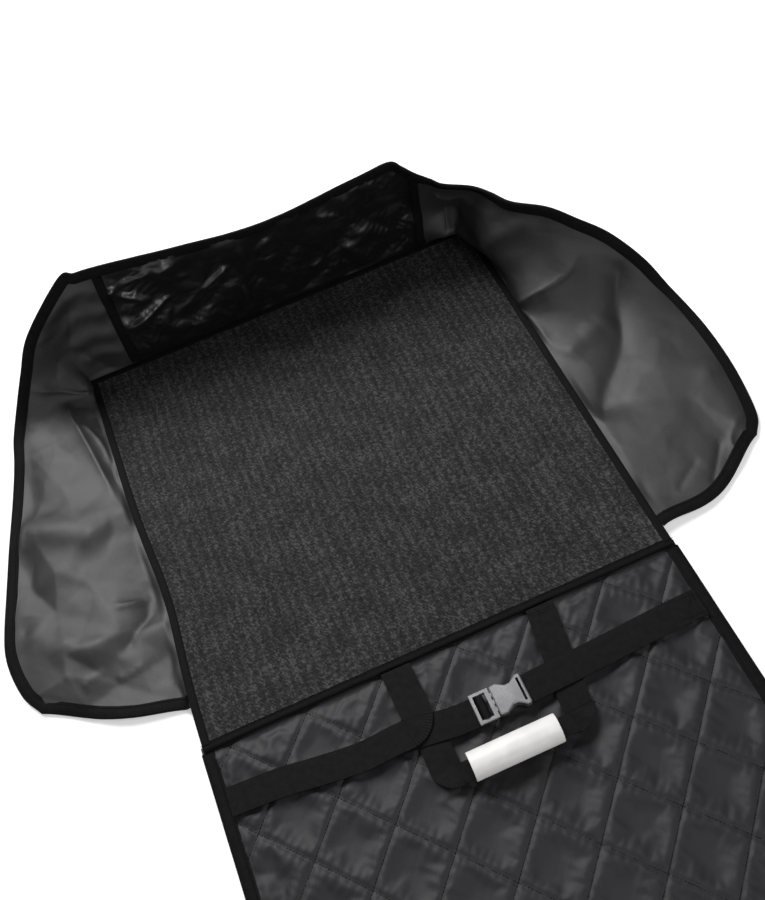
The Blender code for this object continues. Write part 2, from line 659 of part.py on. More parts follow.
def outline_solid(name, outline, low_z, high_z, mat, bevel):
    """Flat outline given thickness, with its edges rounded."""
    bm = bmesh.new()
    bottom = bm.faces.new([bm.verts.new((x, y, low_z)) for x, y in outline])
    raised = bmesh.ops.extrude_face_region(bm, geom=[bottom])["geom"]
    for vert in (v for v in raised if isinstance(v, bmesh.types.BMVert)):
        vert.co.z = high_z
    obj = add_object(name, bm, mat)
    modifier = obj.modifiers.new("rounded", "BEVEL")
    modifier.width = bevel
    modifier.segments = 1
    modifier.limit_method = "ANGLE"
    modifier.angle_limit = math.radians(60)
    return obj


def cutter(name, low, high):
    """Hidden box that cuts a hollow."""
    obj = box(name, low, high, bpy.data.materials["webbing"])
    bpy.data.collections[COLLECTION].objects.unlink(obj)
    bpy.data.collections["cutters"].objects.link(obj)
    obj.hide_render = True
    obj.display_type = "WIRE"
    return obj


def subtract(obj, tool):
    """Cut one solid by another."""
    modifier = obj.modifiers.new("cut_" + tool.name, "BOOLEAN")
    modifier.operation = "DIFFERENCE"
    modifier.solver = "EXACT"
    modifier.object = tool


def side_release_buckle(prefix, centre_y, base_z, mat):
    """Socket with two side windows, and a plug with a webbing bar and three prongs."""
    left = BUCKLE_X - BUCKLE_LENGTH / 2
    mouth = BUCKLE_X + BUCKLE_LENGTH / 2 - SOCKET_LENGTH
    half = BUCKLE_WIDTH / 2
    low_z, high_z = base_z, base_z + BUCKLE_THICKNESS
    hollow_z = (low_z + BUCKLE_WALL, high_z - BUCKLE_WALL)
    through_z = (low_z - BUCKLE_THICKNESS, high_z + BUCKLE_THICKNESS)

    def mirrored(outline, start_x):
        """Closed outline from its far half."""
        far = [(start_x + x * SOCKET_LENGTH, centre_y + y * half) for x, y in outline]
        return far + [(x, 2 * centre_y - y) for x, y in reversed(far)]

    def cut(obj, name, x_ends, y_ends, z_ends):
        """Cut a box-shaped hollow from a piece of the buckle."""
        low, high = zip(x_ends, y_ends, z_ends)
        subtract(obj, cutter(prefix + name, low, high))

    socket = outline_solid(prefix + "_socket", mirrored(SOCKET_OUTLINE, mouth), low_z, high_z,
                           mat, SOCKET_ROUND)
    depth, reach = SOCKET_HOLLOW
    cut(socket, "_mouth", (mouth - half, mouth + depth * SOCKET_LENGTH),
        (centre_y - reach * half, centre_y + reach * half), hollow_z)
    window_x = [mouth + share * SOCKET_LENGTH for share in SOCKET_WINDOW]
    window_z = (hollow_z[0] - CLEARANCE, hollow_z[1] + CLEARANCE)
    cut(socket, "_window_near", window_x,
        (centre_y - 2 * half, centre_y - WINDOW_DEPTH * half), window_z)
    cut(socket, "_window_far", window_x,
        (centre_y + WINDOW_DEPTH * half, centre_y + 2 * half), window_z)
    near, far, reach = SOCKET_SLOT
    cut(socket, "_socket_slot", (mouth + near * SOCKET_LENGTH, mouth + far * SOCKET_LENGTH),
        (centre_y - reach * half, centre_y + reach * half), through_z)

    outline = mirrored(PRONG_OUTLINE, mouth - 2 * CLEARANCE)
    outline = [(left, centre_y + half)] + outline + [(left, centre_y - half)]
    plug = outline_solid(prefix + "_plug", outline, hollow_z[0] + 2 * CLEARANCE,
                         hollow_z[1] - 2 * CLEARANCE, mat, PLUG_ROUND)
    for near, far, reach in PLUG_SLOTS:
        cut(plug, "_plug_slot_%d" % round(near * 100),
            (left + near * BUCKLE_LENGTH, left + far * BUCKLE_LENGTH),
            (centre_y - reach * half, centre_y + reach * half), through_z)


def straps_and_buckle(prefix, centre_y, base_z, strap_mat, buckle_mat):
    """Cross strap in two lengths, sewn at the panel's sides and joined by a buckle."""
    edge = BACK_WIDTH / 2 - BINDING_WIDTH - CLEARANCE
    left = BUCKLE_X - BUCKLE_LENGTH / 2 - CLEARANCE
    right = BUCKLE_X + BUCKLE_LENGTH / 2 + CLEARANCE
    low_y, high_y = centre_y - WEBBING_WIDTH / 2, centre_y + WEBBING_WIDTH / 2
    for name, start, end in (("_strap_left", -edge, left), ("_strap_right", right, edge)):
        rows = [((x, low_y, base_z), (x, high_y, base_z)) for x in (start, end)]
        webbing(prefix + name, rows, strap_mat)
    side_release_buckle(prefix + "_buckle", centre_y, base_z, buckle_mat)


def main():
    """Build every piece."""
    clear_scene()
    for name in (COLLECTION, "cutters"):
        collection = bpy.data.collections.new(name)
        bpy.context.scene.collection.children.link(collection)
    quilt = material("quilt", (0.055, 0.052, 0.060), 0.55)
    mesh = material("mesh", (0.048, 0.046, 0.046), 0.85)
    coated = material("coated_cloth", (0.10, 0.10, 0.105), 0.42)
    tape = material("binding_tape", (0.013, 0.013, 0.014), 0.75)
    strap = material("webbing", (0.020, 0.020, 0.020), 0.8)
    buckle = material("buckle_plastic", (0.38, 0.38, 0.39), 0.35)
    tube = material("tube_plastic", (0.88, 0.87, 0.85), 0.45)

    skirt = Skirt()
    seat_pad(quilt)
    seat_mesh(mesh)
    back_pad(quilt)
    front_panel(skirt, quilt)
    side_flap("side_flap_left", skirt, 0, skirt.left_end, coated)
    side_flap("side_flap_right", skirt, skirt.right_start, len(skirt.ribs) - 1, coated)
    skirt_binding(skirt, tape)
    corner_tape("corner_tape_left", skirt, skirt.left_end, tape)
    corner_tape("corner_tape_right", skirt, skirt.right_start, tape)
    seam_tapes(tape)
    cross_binding(tape)
    back_binding(tape)
    anchor_strap(strap)
    anchor_tube(tube)
    over_anchor = STRAP_Z + WEBBING_THICKNESS + CLEARANCE
    straps_and_buckle("cross", CROSS_Y + CROSS_STRAP_Y, over_anchor, strap, buckle)
    straps_and_buckle("headrest", BACK_END_Y + HEAD_STRAP_Y, STRAP_Z, strap, buckle)


main()
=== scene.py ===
import logging
import math
from collections.abc import Callable
from dataclasses import dataclass, field
from enum import Enum

import bpy
import numpy as np
from mathutils import Matrix, Vector, noise
from mathutils.geometry import delaunay_2d_cdt


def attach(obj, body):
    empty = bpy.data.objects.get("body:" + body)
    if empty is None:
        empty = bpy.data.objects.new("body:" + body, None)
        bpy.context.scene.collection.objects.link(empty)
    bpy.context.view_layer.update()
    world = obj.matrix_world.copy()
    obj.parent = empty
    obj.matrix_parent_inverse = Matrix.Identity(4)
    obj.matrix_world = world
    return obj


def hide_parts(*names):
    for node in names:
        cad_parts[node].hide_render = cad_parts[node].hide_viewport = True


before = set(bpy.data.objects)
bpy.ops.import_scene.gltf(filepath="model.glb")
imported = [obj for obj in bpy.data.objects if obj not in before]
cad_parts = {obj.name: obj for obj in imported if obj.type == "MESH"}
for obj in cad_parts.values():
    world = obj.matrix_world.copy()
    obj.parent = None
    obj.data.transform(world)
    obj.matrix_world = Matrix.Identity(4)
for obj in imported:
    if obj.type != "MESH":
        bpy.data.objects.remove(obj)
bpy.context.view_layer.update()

LOG = logging.getLogger("seat_cover")

# Sizes shared with the solids
SEAT_WIDTH = 0.53
SEAT_DEPTH = 0.522
PAD_THICKNESS = 0.009
BACK_WIDTH = 0.541
BACK_LENGTH = 0.555
QUILT_HALF = (0.042, 0.047)
QUILT_NODE = (0.180, -0.367)
SKIRT_HEIGHT = 0.166
FLAP_WIDTH = 0.180
LEFT_FLAP_LENGTH = 0.478
RIGHT_FLAP_LENGTH = 0.507
SEAM_OUT = 0.0006
SEAM_Z = 0.0094
HEM_Z = 0.0037
BINDING_WIDTH = 0.013
WEBBING_WIDTH = 0.031
WEBBING_THICKNESS = 0.0014
SIDE_X = SEAT_WIDTH / 2
FRONT_Y = SEAT_DEPTH / 2
CROSS_Y = -SEAT_DEPTH / 2
BACK_END_Y = CROSS_Y - BACK_LENGTH
MESH_TOP = 0.0108
STRAP_TOP = 0.0108
CROSS_STRAP_Y = -0.3485
HEADREST_STRAP_Y = -0.726
HEADREST_BUCKLE_X = 0.0275
TUBE_CENTRE = (0.020, -0.400, 0.0241)

# Where the left flap pulls the seat's seam inward
PULL_DEPTH = 0.007
PULL_Y = -0.085
PULL_REACH = 0.085
PULL_FROM_X = 0.16
PULL_FADE = 0.10

# A sewn line: half the width of cloth it holds down, and the groove it leaves
SEWN_HALF = 0.0016
GROOVE_HALF = 0.0026
GROOVE_DEPTH = 0.0014

# A strap on the quilting: half the width that it presses, the level below it, and the fade
STRAP_PRESS = 0.0165
PRESSED_LEVEL = 0.0092
STRAP_FADE = 0.012

# Lowest height of draped cloth over the floor, and the depth over which it eases to it
FLOOR_GAP = 0.0021
FLOOR_EASE = 0.002

# Edges sharper than this, in degrees, stay sharp on quilted and draped cloth
CLOTH_ANGLE = 80.0
# Edges sharper than this, in degrees, stay sharp on folded tape
TAPE_ANGLE = 70.0
# Scale at which a wave texture has one band to a metre
BAND_SCALE = 0.314

Array = np.ndarray


class Side(Enum):
    """Left or right of the cover, seen from the back panel."""

    LEFT = -1
    RIGHT = 1


class FoldKind(Enum):
    """How a fold's section rises: a round ridge or a sharp crease."""

    RIDGE = "ridge"
    CREASE = "crease"


def smooth_step(value: Array) -> Array:
    """Ease from 0 to 1 over the range 0 to 1."""
    value = np.clip(value, 0.0, 1.0)
    return value * value * (3.0 - 2.0 * value)


def seam_inset(x: Array, y: Array) -> Array:
    """Shift of the seat's left edge, where the flap pulls the seam inward."""
    pull = PULL_DEPTH * np.exp(-((y - PULL_Y) / PULL_REACH) ** 2)
    return pull * smooth_step((-x - PULL_FROM_X) / PULL_FADE)


def catmull_rom(points: Array, steps: int) -> Array:
    """Smooth curve through points.

    Args:
        points: Row of points, one per line.
        steps: Number of steps to each span.

    Returns:
        The refined row of points.
    """
    points = np.asarray(points, float)
    padded = np.vstack([2 * points[0] - points[1], points, 2 * points[-1] - points[-2]])
    spans = []
    share = np.arange(steps)[:, None] / steps
    for a, b, c, d in zip(padded, padded[1:], padded[2:], padded[3:]):
        spans.append(0.5 * (2 * b + (c - a) * share + (2 * a - 5 * b + 4 * c - d) * share**2
                            + (3 * b - a - 3 * c + d) * share**3))
    return np.vstack(spans + [points[-1:]])


def noise_field(points: Array, scale: float, seed: float, octaves: int = 2) -> Array:
    """Smooth seeded noise, about -1 to 1, at each point of an array of points.

    Args:
        points: Points, in an array of any shape.
        scale: Swells to a metre.
        seed: Offset that picks another part of the noise.
        octaves: Layers of finer noise.

    Returns:
        One value to each point.
    """
    flat = points.reshape(-1, 3) * scale + seed
    values = [noise.fractal(Vector(p), 1.0, 2.0, octaves, noise_basis="PERLIN_ORIGINAL")
              for p in flat]
    return np.array(values).reshape(points.shape[:-1])


def grid_normals(grid: Array) -> Array:
    """Unit normals of a grid of points, by its neighbours along both directions."""
    normal = np.cross(np.gradient(grid, axis=0), np.gradient(grid, axis=1))
    return normal / np.maximum(np.linalg.norm(normal, axis=-1, keepdims=True), 1e-12)


def finished(name: str, mesh: bpy.types.Mesh, material: bpy.types.Material,
             smooth_angle: float = 50.0) -> bpy.types.Object:
    """Link a finished mesh as a piece of the cover.

    Args:
        name: Piece's name.
        mesh: Its mesh, in place.
        material: Its finish.
        smooth_angle: Edges sharper than this, in degrees, stay sharp.

    Returns:
        The piece, riding on the root body.
    """
    mesh.materials.clear()
    mesh.materials.append(material)
    mesh.shade_smooth()
    mesh.set_sharp_from_angle(angle=math.radians(smooth_angle))
    piece = bpy.data.objects.new(name, mesh)
    bpy.context.scene.collection.objects.link(piece)
    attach(piece, "root")
    LOG.info("%s: %d vertices", name, len(mesh.vertices))
    return piece


def lay_flat(mesh: bpy.types.Mesh, flat: Array) -> None:
    """Give a mesh a UV map of each point's flat position on the cloth, in metres.

    Args:
        mesh: Mesh to mark.
        flat: Flat position of each of its points.
    """
    layer = mesh.uv_layers.new(name="cloth")
    corners = np.empty(len(mesh.loops), dtype=np.int64)
    mesh.loops.foreach_get("vertex_index", corners)
    layer.data.foreach_set("uv", flat[corners].ravel())


def grid_quads(rows: int, columns: int) -> tuple:
    """Point numbers of a grid, and its quads.

    Args:
        rows: Points along the grid's first direction.
        columns: Points along its second direction.

    Returns:
        Grid of point numbers, and one line to each quad.
    """
    index = np.arange(rows * columns).reshape(rows, columns)
    quads = np.stack([index[:-1, :-1], index[1:, :-1], index[1:, 1:], index[:-1, 1:]], -1)
    return index, quads.reshape(-1, 4)


def signed_volume(points: Array, faces: Array) -> float:
    """Volume of a closed quad mesh, negative where it is inside out."""
    a, b, c, d = (points[faces[:, k]] for k in range(4))
    return float(np.sum(np.cross(a, b) * c) + np.sum(np.cross(a, c) * d)) / 6.0


def shell_mesh(name: str, upper: Array, lower: Array, uv: Array) -> bpy.types.Mesh:
    """Closed mesh between two grids of points that share their layout.

    Args:
        name: Mesh name.
        upper: Grid of points of the side that shows.
        lower: Grid of points of the hidden side.
        uv: Flat position of each grid point on the cloth, in metres.

    Returns:
        Mesh with a UV map of flat cloth metres.
    """
    rows, columns = upper.shape[:2]
    count = rows * columns
    index, quads = grid_quads(rows, columns)
    rim = np.concatenate([index[:-1, 0], index[-1, :-1], index[:0:-1, -1], index[0, :0:-1]])
    following = np.roll(rim, -1)
    walls = np.stack([following, rim, rim + count, following + count], -1)
    faces = np.vstack([quads, quads[:, ::-1] + count, walls])
    points = np.vstack([upper.reshape(-1, 3), lower.reshape(-1, 3)])
    mesh = bpy.data.meshes.new(name)
    mesh.from_pydata(points.tolist(), [], faces.tolist())
    if signed_volume(points, faces) < 0:
        mesh.flip_normals()
    lay_flat(mesh, np.vstack([uv.reshape(-1, 2), uv.reshape(-1, 2)]))
    return mesh


@dataclass(frozen=True)
class ClothSettings:
    """How a sheet of cloth is let buckle between the points that hold it."""

    growth: float
    frames: int = 18
    bending: float = 0.8
    pressure: float = 0.0
    tension: float = 20.0
    mass: float = 0.15
    air_damping: float = 2.0
    quality: int = 5
    scale: float = 10.0
    hold_levels: int = 20

    def relax(self, grid: Array, held: Array) -> Array:
        """Let a sheet grow and buckle, with Blender's cloth simulation.

        Args:
            grid: Grid of points of the sheet at rest.
            held: How firmly each point is held, from 0 to 1.
        """
        rows, columns = grid.shape[:2]
        _, quads = grid_quads(rows, columns)
        mesh = bpy.data.meshes.new("cloth_rest")
        mesh.from_pydata((grid.reshape(-1, 3) * self.scale).tolist(), [], quads.tolist())
        sheet = bpy.data.objects.new("cloth_rest", mesh)
        bpy.context.scene.collection.objects.link(sheet)
        group = sheet.vertex_groups.new(name="held")
        levels = np.round(np.clip(held, 0, 1) * self.hold_levels).astype(int).ravel()
        for level in np.unique(levels):
            members = np.flatnonzero(levels == level).tolist()
            group.add(members, level / self.hold_levels, "REPLACE")
        modifier = sheet.modifiers.new("cloth", "CLOTH")
        cloth = modifier.settings
        cloth.vertex_group_mass = "held"
        cloth.shrink_min = -self.growth
        cloth.quality = self.quality
        cloth.mass = self.mass
        cloth.tension_stiffness = self.tension
        cloth.compression_stiffness = self.tension
        cloth.shear_stiffness = self.tension / 2
        cloth.bending_stiffness = self.bending
        cloth.air_damping = self.air_damping
        cloth.pin_stiffness = 1.0
        cloth.effector_weights.gravity = 0.0
        if self.pressure:
            cloth.use_pressure = True
            cloth.uniform_pressure_force = self.pressure
        modifier.collision_settings.use_collision = False
        modifier.point_cache.frame_start = 1
        modifier.point_cache.frame_end = self.frames
        scene = bpy.context.scene
        for frame_number in range(1, self.frames + 1):
            scene.frame_set(frame_number)
        evaluated = sheet.evaluated_get(bpy.context.evaluated_depsgraph_get())
        points = np.empty(rows * columns * 3)
        evaluated.data.vertices.foreach_get("co", points)
        bpy.data.objects.remove(sheet, do_unlink=True)
        bpy.data.meshes.remove(mesh)
        scene.frame_set(1)
        return points.reshape(rows, columns, 3) / self.scale


class Stitches:
    """Rows of sewn thread, laid by a Geometry Nodes tree."""

    def __init__(self, spacing: float, length: float, radius: float) -> None:
        """Build the tree, with its sizes as named inputs.

        Args:
            spacing: Distance from stitch to stitch.
            length: Length of a stitch.
            radius: Half of the thread's thickness.
        """
        self.sizes = {"Spacing": spacing, "Length": length, "Radius": radius}
        tree = bpy.data.node_groups.new("stitches", "GeometryNodeTree")
        face = tree.interface
        face.new_socket("Geometry", in_out="INPUT", socket_type="NodeSocketGeometry")
        for name in self.sizes:
            face.new_socket(name, in_out="INPUT", socket_type="NodeSocketFloat")
        face.new_socket("Material", in_out="INPUT", socket_type="NodeSocketMaterial")
        face.new_socket("Geometry", in_out="OUTPUT", socket_type="NodeSocketGeometry")
        node, link = tree.nodes.new, tree.links.new
        start, end = node("NodeGroupInput"), node("NodeGroupOutput")
        curve = node("GeometryNodeMeshToCurve")
        resample = node("GeometryNodeResampleCurve")
        resample.mode = "LENGTH"
        thread = node("GeometryNodeMeshCylinder")
        thread.inputs["Vertices"].default_value = 6
        place = node("GeometryNodeInstanceOnPoints")
        align = node("FunctionNodeAlignEulerToVector")
        align.axis = "Z"
        realize = node("GeometryNodeRealizeInstances")
        paint = node("GeometryNodeSetMaterial")
        tangent = node("GeometryNodeInputTangent")
        link(start.outputs["Geometry"], curve.inputs["Mesh"])
        link(curve.outputs["Curve"], resample.inputs["Curve"])
        link(start.outputs["Spacing"], resample.inputs["Length"])
        link(start.outputs["Length"], thread.inputs["Depth"])
        link(start.outputs["Radius"], thread.inputs["Radius"])
        link(resample.outputs["Curve"], place.inputs["Points"])
        link(thread.outputs["Mesh"], place.inputs["Instance"])
        link(tangent.outputs["Tangent"], align.inputs["Vector"])
        link(align.outputs["Rotation"], place.inputs["Rotation"])
        link(place.outputs["Instances"], realize.inputs["Geometry"])
        link(realize.outputs["Geometry"], paint.inputs["Geometry"])
        link(start.outputs["Material"], paint.inputs["Material"])
        link(paint.outputs["Geometry"], end.inputs["Geometry"])
        self.tree = tree

    def sew(self, name: str, lines: list, material: bpy.types.Material, slot: str) -> None:
        """Sew along lines.

        Args:
            name: Piece's name.
            lines: Rows of points.
            material: Finish of the thread.
            slot: The record's material slot; not used.
        """
        points, edges = [], []
        for line in lines:
            edges += [(len(points) + i, len(points) + i + 1) for i in range(len(line) - 1)]
            points += np.asarray(line).tolist()
        mesh = bpy.data.meshes.new(name)
        mesh.from_pydata(points, edges, [])
        guide = bpy.data.objects.new(name, mesh)
        bpy.context.scene.collection.objects.link(guide)
        modifier = guide.modifiers.new("stitches", "NODES")
        modifier.node_group = self.tree
        for item in self.tree.interface.items_tree:
            if item.in_out == "INPUT" and item.name in self.sizes:
                modifier[item.identifier] = self.sizes[item.name]
            elif item.in_out == "INPUT" and item.name == "Material":
                modifier[item.identifier] = material
        graph = bpy.context.evaluated_depsgraph_get()
        sewn = bpy.data.meshes.new_from_object(guide.evaluated_get(graph))
        bpy.data.objects.remove(guide, do_unlink=True)
        finished(name, sewn, material)


def swept_mesh(name: str, sections: Array, closed: bool = False) -> bpy.types.Mesh:
    """Closed mesh through a row of closed cross-sections, with a UV map of metres.

    Args:
        name: Mesh name.
        sections: Array of rings: ring, point of the ring, coordinate.
        closed: Whether the last ring joins the first.

    Returns:
        The mesh.
    """
    rings, count = sections.shape[:2]
    index = np.arange(rings * count).reshape(rings, count)
    ahead = np.roll(index, -1, axis=0) if closed else index[1:]
    here = index if closed else index[:-1]
    quads = np.stack([here, np.roll(here, -1, 1), np.roll(ahead, -1, 1), ahead], -1)
    faces = quads.reshape(-1, 4).tolist()
    points = sections.reshape(-1, 3)
    flip = signed_volume(points, quads.reshape(-1, 4)) < 0
    if not closed:
        faces += [index[0, ::-1].tolist(), index[-1].tolist()]
    mesh = bpy.data.meshes.new(name)
    mesh.from_pydata(points.tolist(), [], faces)
    if flip:
        mesh.flip_normals()
    length = np.concatenate([[0], np.cumsum(np.linalg.norm(
        np.diff(sections.mean(1), axis=0), axis=1))])
    around = np.concatenate([[0], np.cumsum(np.linalg.norm(
        np.diff(sections[0], axis=0), axis=1))])
    lay_flat(mesh, np.stack(np.meshgrid(around, length), -1).reshape(-1, 2))
    return mesh


def shaded(tone: tuple, share: float) -> tuple:
    """A tone made darker or lighter by a share, no lighter than white."""
    return tuple(min(1.0, share * level) for level in tone)


class Shader:
    """Small builder for a material's node tree."""

    def __init__(self, name: str) -> None:
        """Start a material with one Principled shader.

        Args:
            name: Material's name.
        """
        self.material = bpy.data.materials.new(name)
        self.material.use_nodes = True
        self.tree = self.material.node_tree
        self.principled = self.tree.nodes["Principled BSDF"]

    def node(self, kind: str, **settings: object) -> bpy.types.Node:
        """Add a node; lower-case settings are its properties.

        Args:
            kind: Node type.
            **settings: Values of its properties.

        Returns:
            The node.
        """
        made = self.tree.nodes.new(kind)
        for key, value in settings.items():
            setattr(made, key, value)
        return made

    def join(self, source: object, target: object) -> None:
        """Link an output socket to an input socket, or set the input's value.

        Args:
            source: Output socket, or a value.
            target: Input socket.
        """
        if isinstance(source, bpy.types.NodeSocket):
            self.tree.links.new(source, target)
        else:
            target.default_value = source

    def math(self, operation: str, *values: object, clamp: bool = False) -> object:
        """Math node over numbers or sockets; returns its output.

        Args:
            operation: Name of the operation.
            *values: Numbers or sockets.
            clamp: Whether the result is kept between 0 and 1.

        Returns:
            Output socket.
        """
        made = self.node("ShaderNodeMath", operation=operation, use_clamp=clamp)
        for value, target in zip(values, made.inputs):
            self.join(value, target)
        return made.outputs[0]

    def mapped(self, scale: tuple, source: str = "Object", angle: float = 0.0) -> object:
        """Object coordinates or the cloth's UV, turned and then scaled.

        Args:
            scale: Stretch along each axis.
            source: "Object" or "UV".
            angle: Turn about the cloth's normal, in radians.

        Returns:
            Output socket of the coordinates.
        """
        if source == "UV":
            coordinates = self.node("ShaderNodeUVMap", uv_map="cloth").outputs["UV"]
        else:
            coordinates = self.node("ShaderNodeTexCoord").outputs["Object"]
        if angle:
            turn = self.node("ShaderNodeMapping")
            turn.inputs["Rotation"].default_value = (0, 0, angle)
            self.join(coordinates, turn.inputs["Vector"])
            coordinates = turn.outputs["Vector"]
        mapping = self.node("ShaderNodeMapping")
        mapping.inputs["Scale"].default_value = scale
        self.join(coordinates, mapping.inputs["Vector"])
        return mapping.outputs["Vector"]

    def noise(self, vector: object, scale: float, detail: float = 2.0,
              distortion: float = 0.0) -> object:
        """Noise texture's factor.

        Args:
            vector: Texture coordinates.
            scale: Swells to a metre.
            detail: Layers of finer noise.
            distortion: How far it is warped.

        Returns:
            Output socket.
        """
        made = self.node("ShaderNodeTexNoise")
        self.join(vector, made.inputs["Vector"])
        made.inputs["Scale"].default_value = scale
        made.inputs["Detail"].default_value = detail
        made.inputs["Distortion"].default_value = distortion
        return made.outputs["Fac"]

    def wave(self, vector: object, scale: float, direction: str,
             distortion: float = 0.0) -> object:
        """Wave texture of bands along X or Y.

        Args:
            vector: Texture coordinates.
            scale: Scale of the bands.
            direction: "X" or "Y".
            distortion: How far the bands wander.

        Returns:
            Output socket.
        """
        made = self.node("ShaderNodeTexWave", wave_type="BANDS", bands_direction=direction)
        self.join(vector, made.inputs["Vector"])
        made.inputs["Scale"].default_value = scale
        made.inputs["Distortion"].default_value = distortion
        return made.outputs["Fac"]

    def cells(self, vector: object, scale: float, randomness: float = 1.0) -> object:
        """Voronoi distance to the nearest point.

        Args:
            vector: Texture coordinates.
            scale: Cells to a metre.
            randomness: How irregular the cells are, from 0 to 1.

        Returns:
            Output socket.
        """
        made = self.node("ShaderNodeTexVoronoi")
        self.join(vector, made.inputs["Vector"])
        made.inputs["Scale"].default_value = scale
        made.inputs["Randomness"].default_value = randomness
        return made.outputs["Distance"]

    def ramp(self, factor: object, stops: list) -> object:
        """Colour ramp over (position, colour) stops.

        Args:
            factor: Number or socket.
            stops: Positions with their colours, in order.

        Returns:
            Output socket of the colour.
        """
        made = self.node("ShaderNodeValToRGB")
        elements = made.color_ramp.elements
        elements[0].position, elements[0].color = stops[0][0], (*stops[0][1], 1)
        elements[1].position, elements[1].color = stops[-1][0], (*stops[-1][1], 1)
        for position, colour in stops[1:-1]:
            elements.new(position).color = (*colour, 1)
        self.join(factor, made.inputs["Fac"])
        return made.outputs["Color"]

    def bump(self, height: object, distance: float, strength: float = 1.0,
             under: object = None) -> object:
        """Bump node; returns the bent normal.

        Args:
            height: Socket of the height.
            distance: Height in metres at 1.
            strength: Share of the effect.
            under: Normal that it is added to.

        Returns:
            Output socket of the bent normal.
        """
        made = self.node("ShaderNodeBump")
        made.inputs["Strength"].default_value = strength
        made.inputs["Distance"].default_value = distance
        self.join(height, made.inputs["Height"])
        if under is not None:
            self.join(under, made.inputs["Normal"])
        return made.outputs["Normal"]

    def finish(self, colour: object, roughness: object, normal: object = None,
               **constants: float) -> bpy.types.Material:
        """Connect the Principled shader; constants are set on its own sockets.

        Args:
            colour: Base colour.
            roughness: Roughness.
            normal: Bent normal, if any.
            **constants: Values of other inputs, by name.

        Returns:
            The material.
        """
        inputs = self.principled.inputs
        self.join(colour, inputs["Base Color"])
        self.join(roughness, inputs["Roughness"])
        if normal is not None:
            self.join(normal, inputs["Normal"])
        for key, value in constants.items():
            inputs[key.replace("_", " ")].default_value = value
        return self.material


@dataclass(frozen=True)
class KnitMesh:
    """Matte knitted non-slip mesh with wandering ribs along its length."""

    dark: tuple = (0.006, 0.006, 0.006)
    middle: tuple = (0.022, 0.0215, 0.0215)
    light: tuple = (0.070, 0.069, 0.069)
    knot: float = 0.0031
    rib_pitch: float = 0.012
    # Turn and stretch of the yarn's slanting strokes
    slant: float = 0.94
    stroke_stretch: float = 0.33
    # Shares of the tufts, yarn, strokes, flecks, patches and ribs in the shade
    shares: tuple = (0.28, 0.38, 0.56, 0.30, 0.25, 0.08)

    def build(self) -> bpy.types.Material:
        """Make the material.

        Returns:
            The material.
        """
        shader = Shader("knit_mesh")
        place = shader.mapped((1, 1, 1), "UV")
        knots = shader.cells(place, 1.0 / self.knot, 0.75)
        yarn = shader.noise(place, 1.0 / (self.knot * 1.6), 3.0)
        long = shader.mapped((1, 0.28, 1), "UV")
        ribs = shader.wave(long, BAND_SCALE / self.rib_pitch, "X", 3.0)
        tuft = shader.math("MULTIPLY_ADD", knots, -0.9, 0.95)
        fleck = shader.noise(place, 1.0 / (self.knot * 0.55), 1.0)
        patch = shader.noise(place, 30.0, 2.0)
        slant = shader.mapped((self.stroke_stretch, 1, 1), "UV", self.slant)
        strokes = shader.noise(slant, 1.0 / (self.knot * 0.50), 1.0)
        tufts, yarns, stroked, flecks, patches, banded = self.shares
        mixed = shader.math("ADD", shader.math("MULTIPLY", tuft, tufts),
                            shader.math("MULTIPLY", yarn, yarns))
        mixed = shader.math("MULTIPLY_ADD", strokes, stroked, mixed)
        for layer, share, less in ((fleck, flecks, 0.160), (patch, patches, 0.28),
                                   (ribs, banded, 0.05)):
            mixed = shader.math("MULTIPLY_ADD", layer, share,
                                shader.math("SUBTRACT", mixed, less))
        colour = shader.ramp(mixed, [(0.28, self.dark), (0.44, self.middle), (0.62, self.light)])
        normal = shader.bump(tuft, self.knot * 0.35, 0.8)
        return shader.finish(colour, 0.8, normal, Specular_IOR_Level=0.25)


@dataclass(frozen=True)
class CoatedCloth:
    """Satin coated oxford cloth of the flaps."""

    tone: tuple = (0.026, 0.026, 0.0275)
    thread: float = 0.0011
    cloud_scale: float = 14.0
    speck_scale: float = 520.0
    rough: float = 0.41

    def build(self) -> bpy.types.Material:
        """Make the material.

        Returns:
            The material.
        """
        shader = Shader("coated_cloth")
        place = shader.mapped((1, 1, 1), "UV")
        warp = shader.wave(place, BAND_SCALE / self.thread, "X")
        weft = shader.wave(place, BAND_SCALE / self.thread, "Y")
        weave = shader.math("MULTIPLY", warp, weft)
        cloud = shader.noise(place, self.cloud_scale, 4.0)
        speck = shader.noise(place, self.speck_scale, 1.0)
        shade = shader.math("MULTIPLY_ADD", cloud, 0.35, shader.math("MULTIPLY", speck, 0.50))
        colour = shader.ramp(shade, [(0.2, shaded(self.tone, 0.60)),
                                     (0.65, shaded(self.tone, 1.40))])
        rough = shader.math("MULTIPLY_ADD", cloud, 0.12, self.rough)
        crumple = shader.noise(place, 55.0, 3.0, 0.6)
        normal = shader.bump(crumple, 0.0006, 0.4, shader.bump(weave, 0.00016, 0.8))
        return shader.finish(colour, rough, normal, Specular_IOR_Level=0.58)


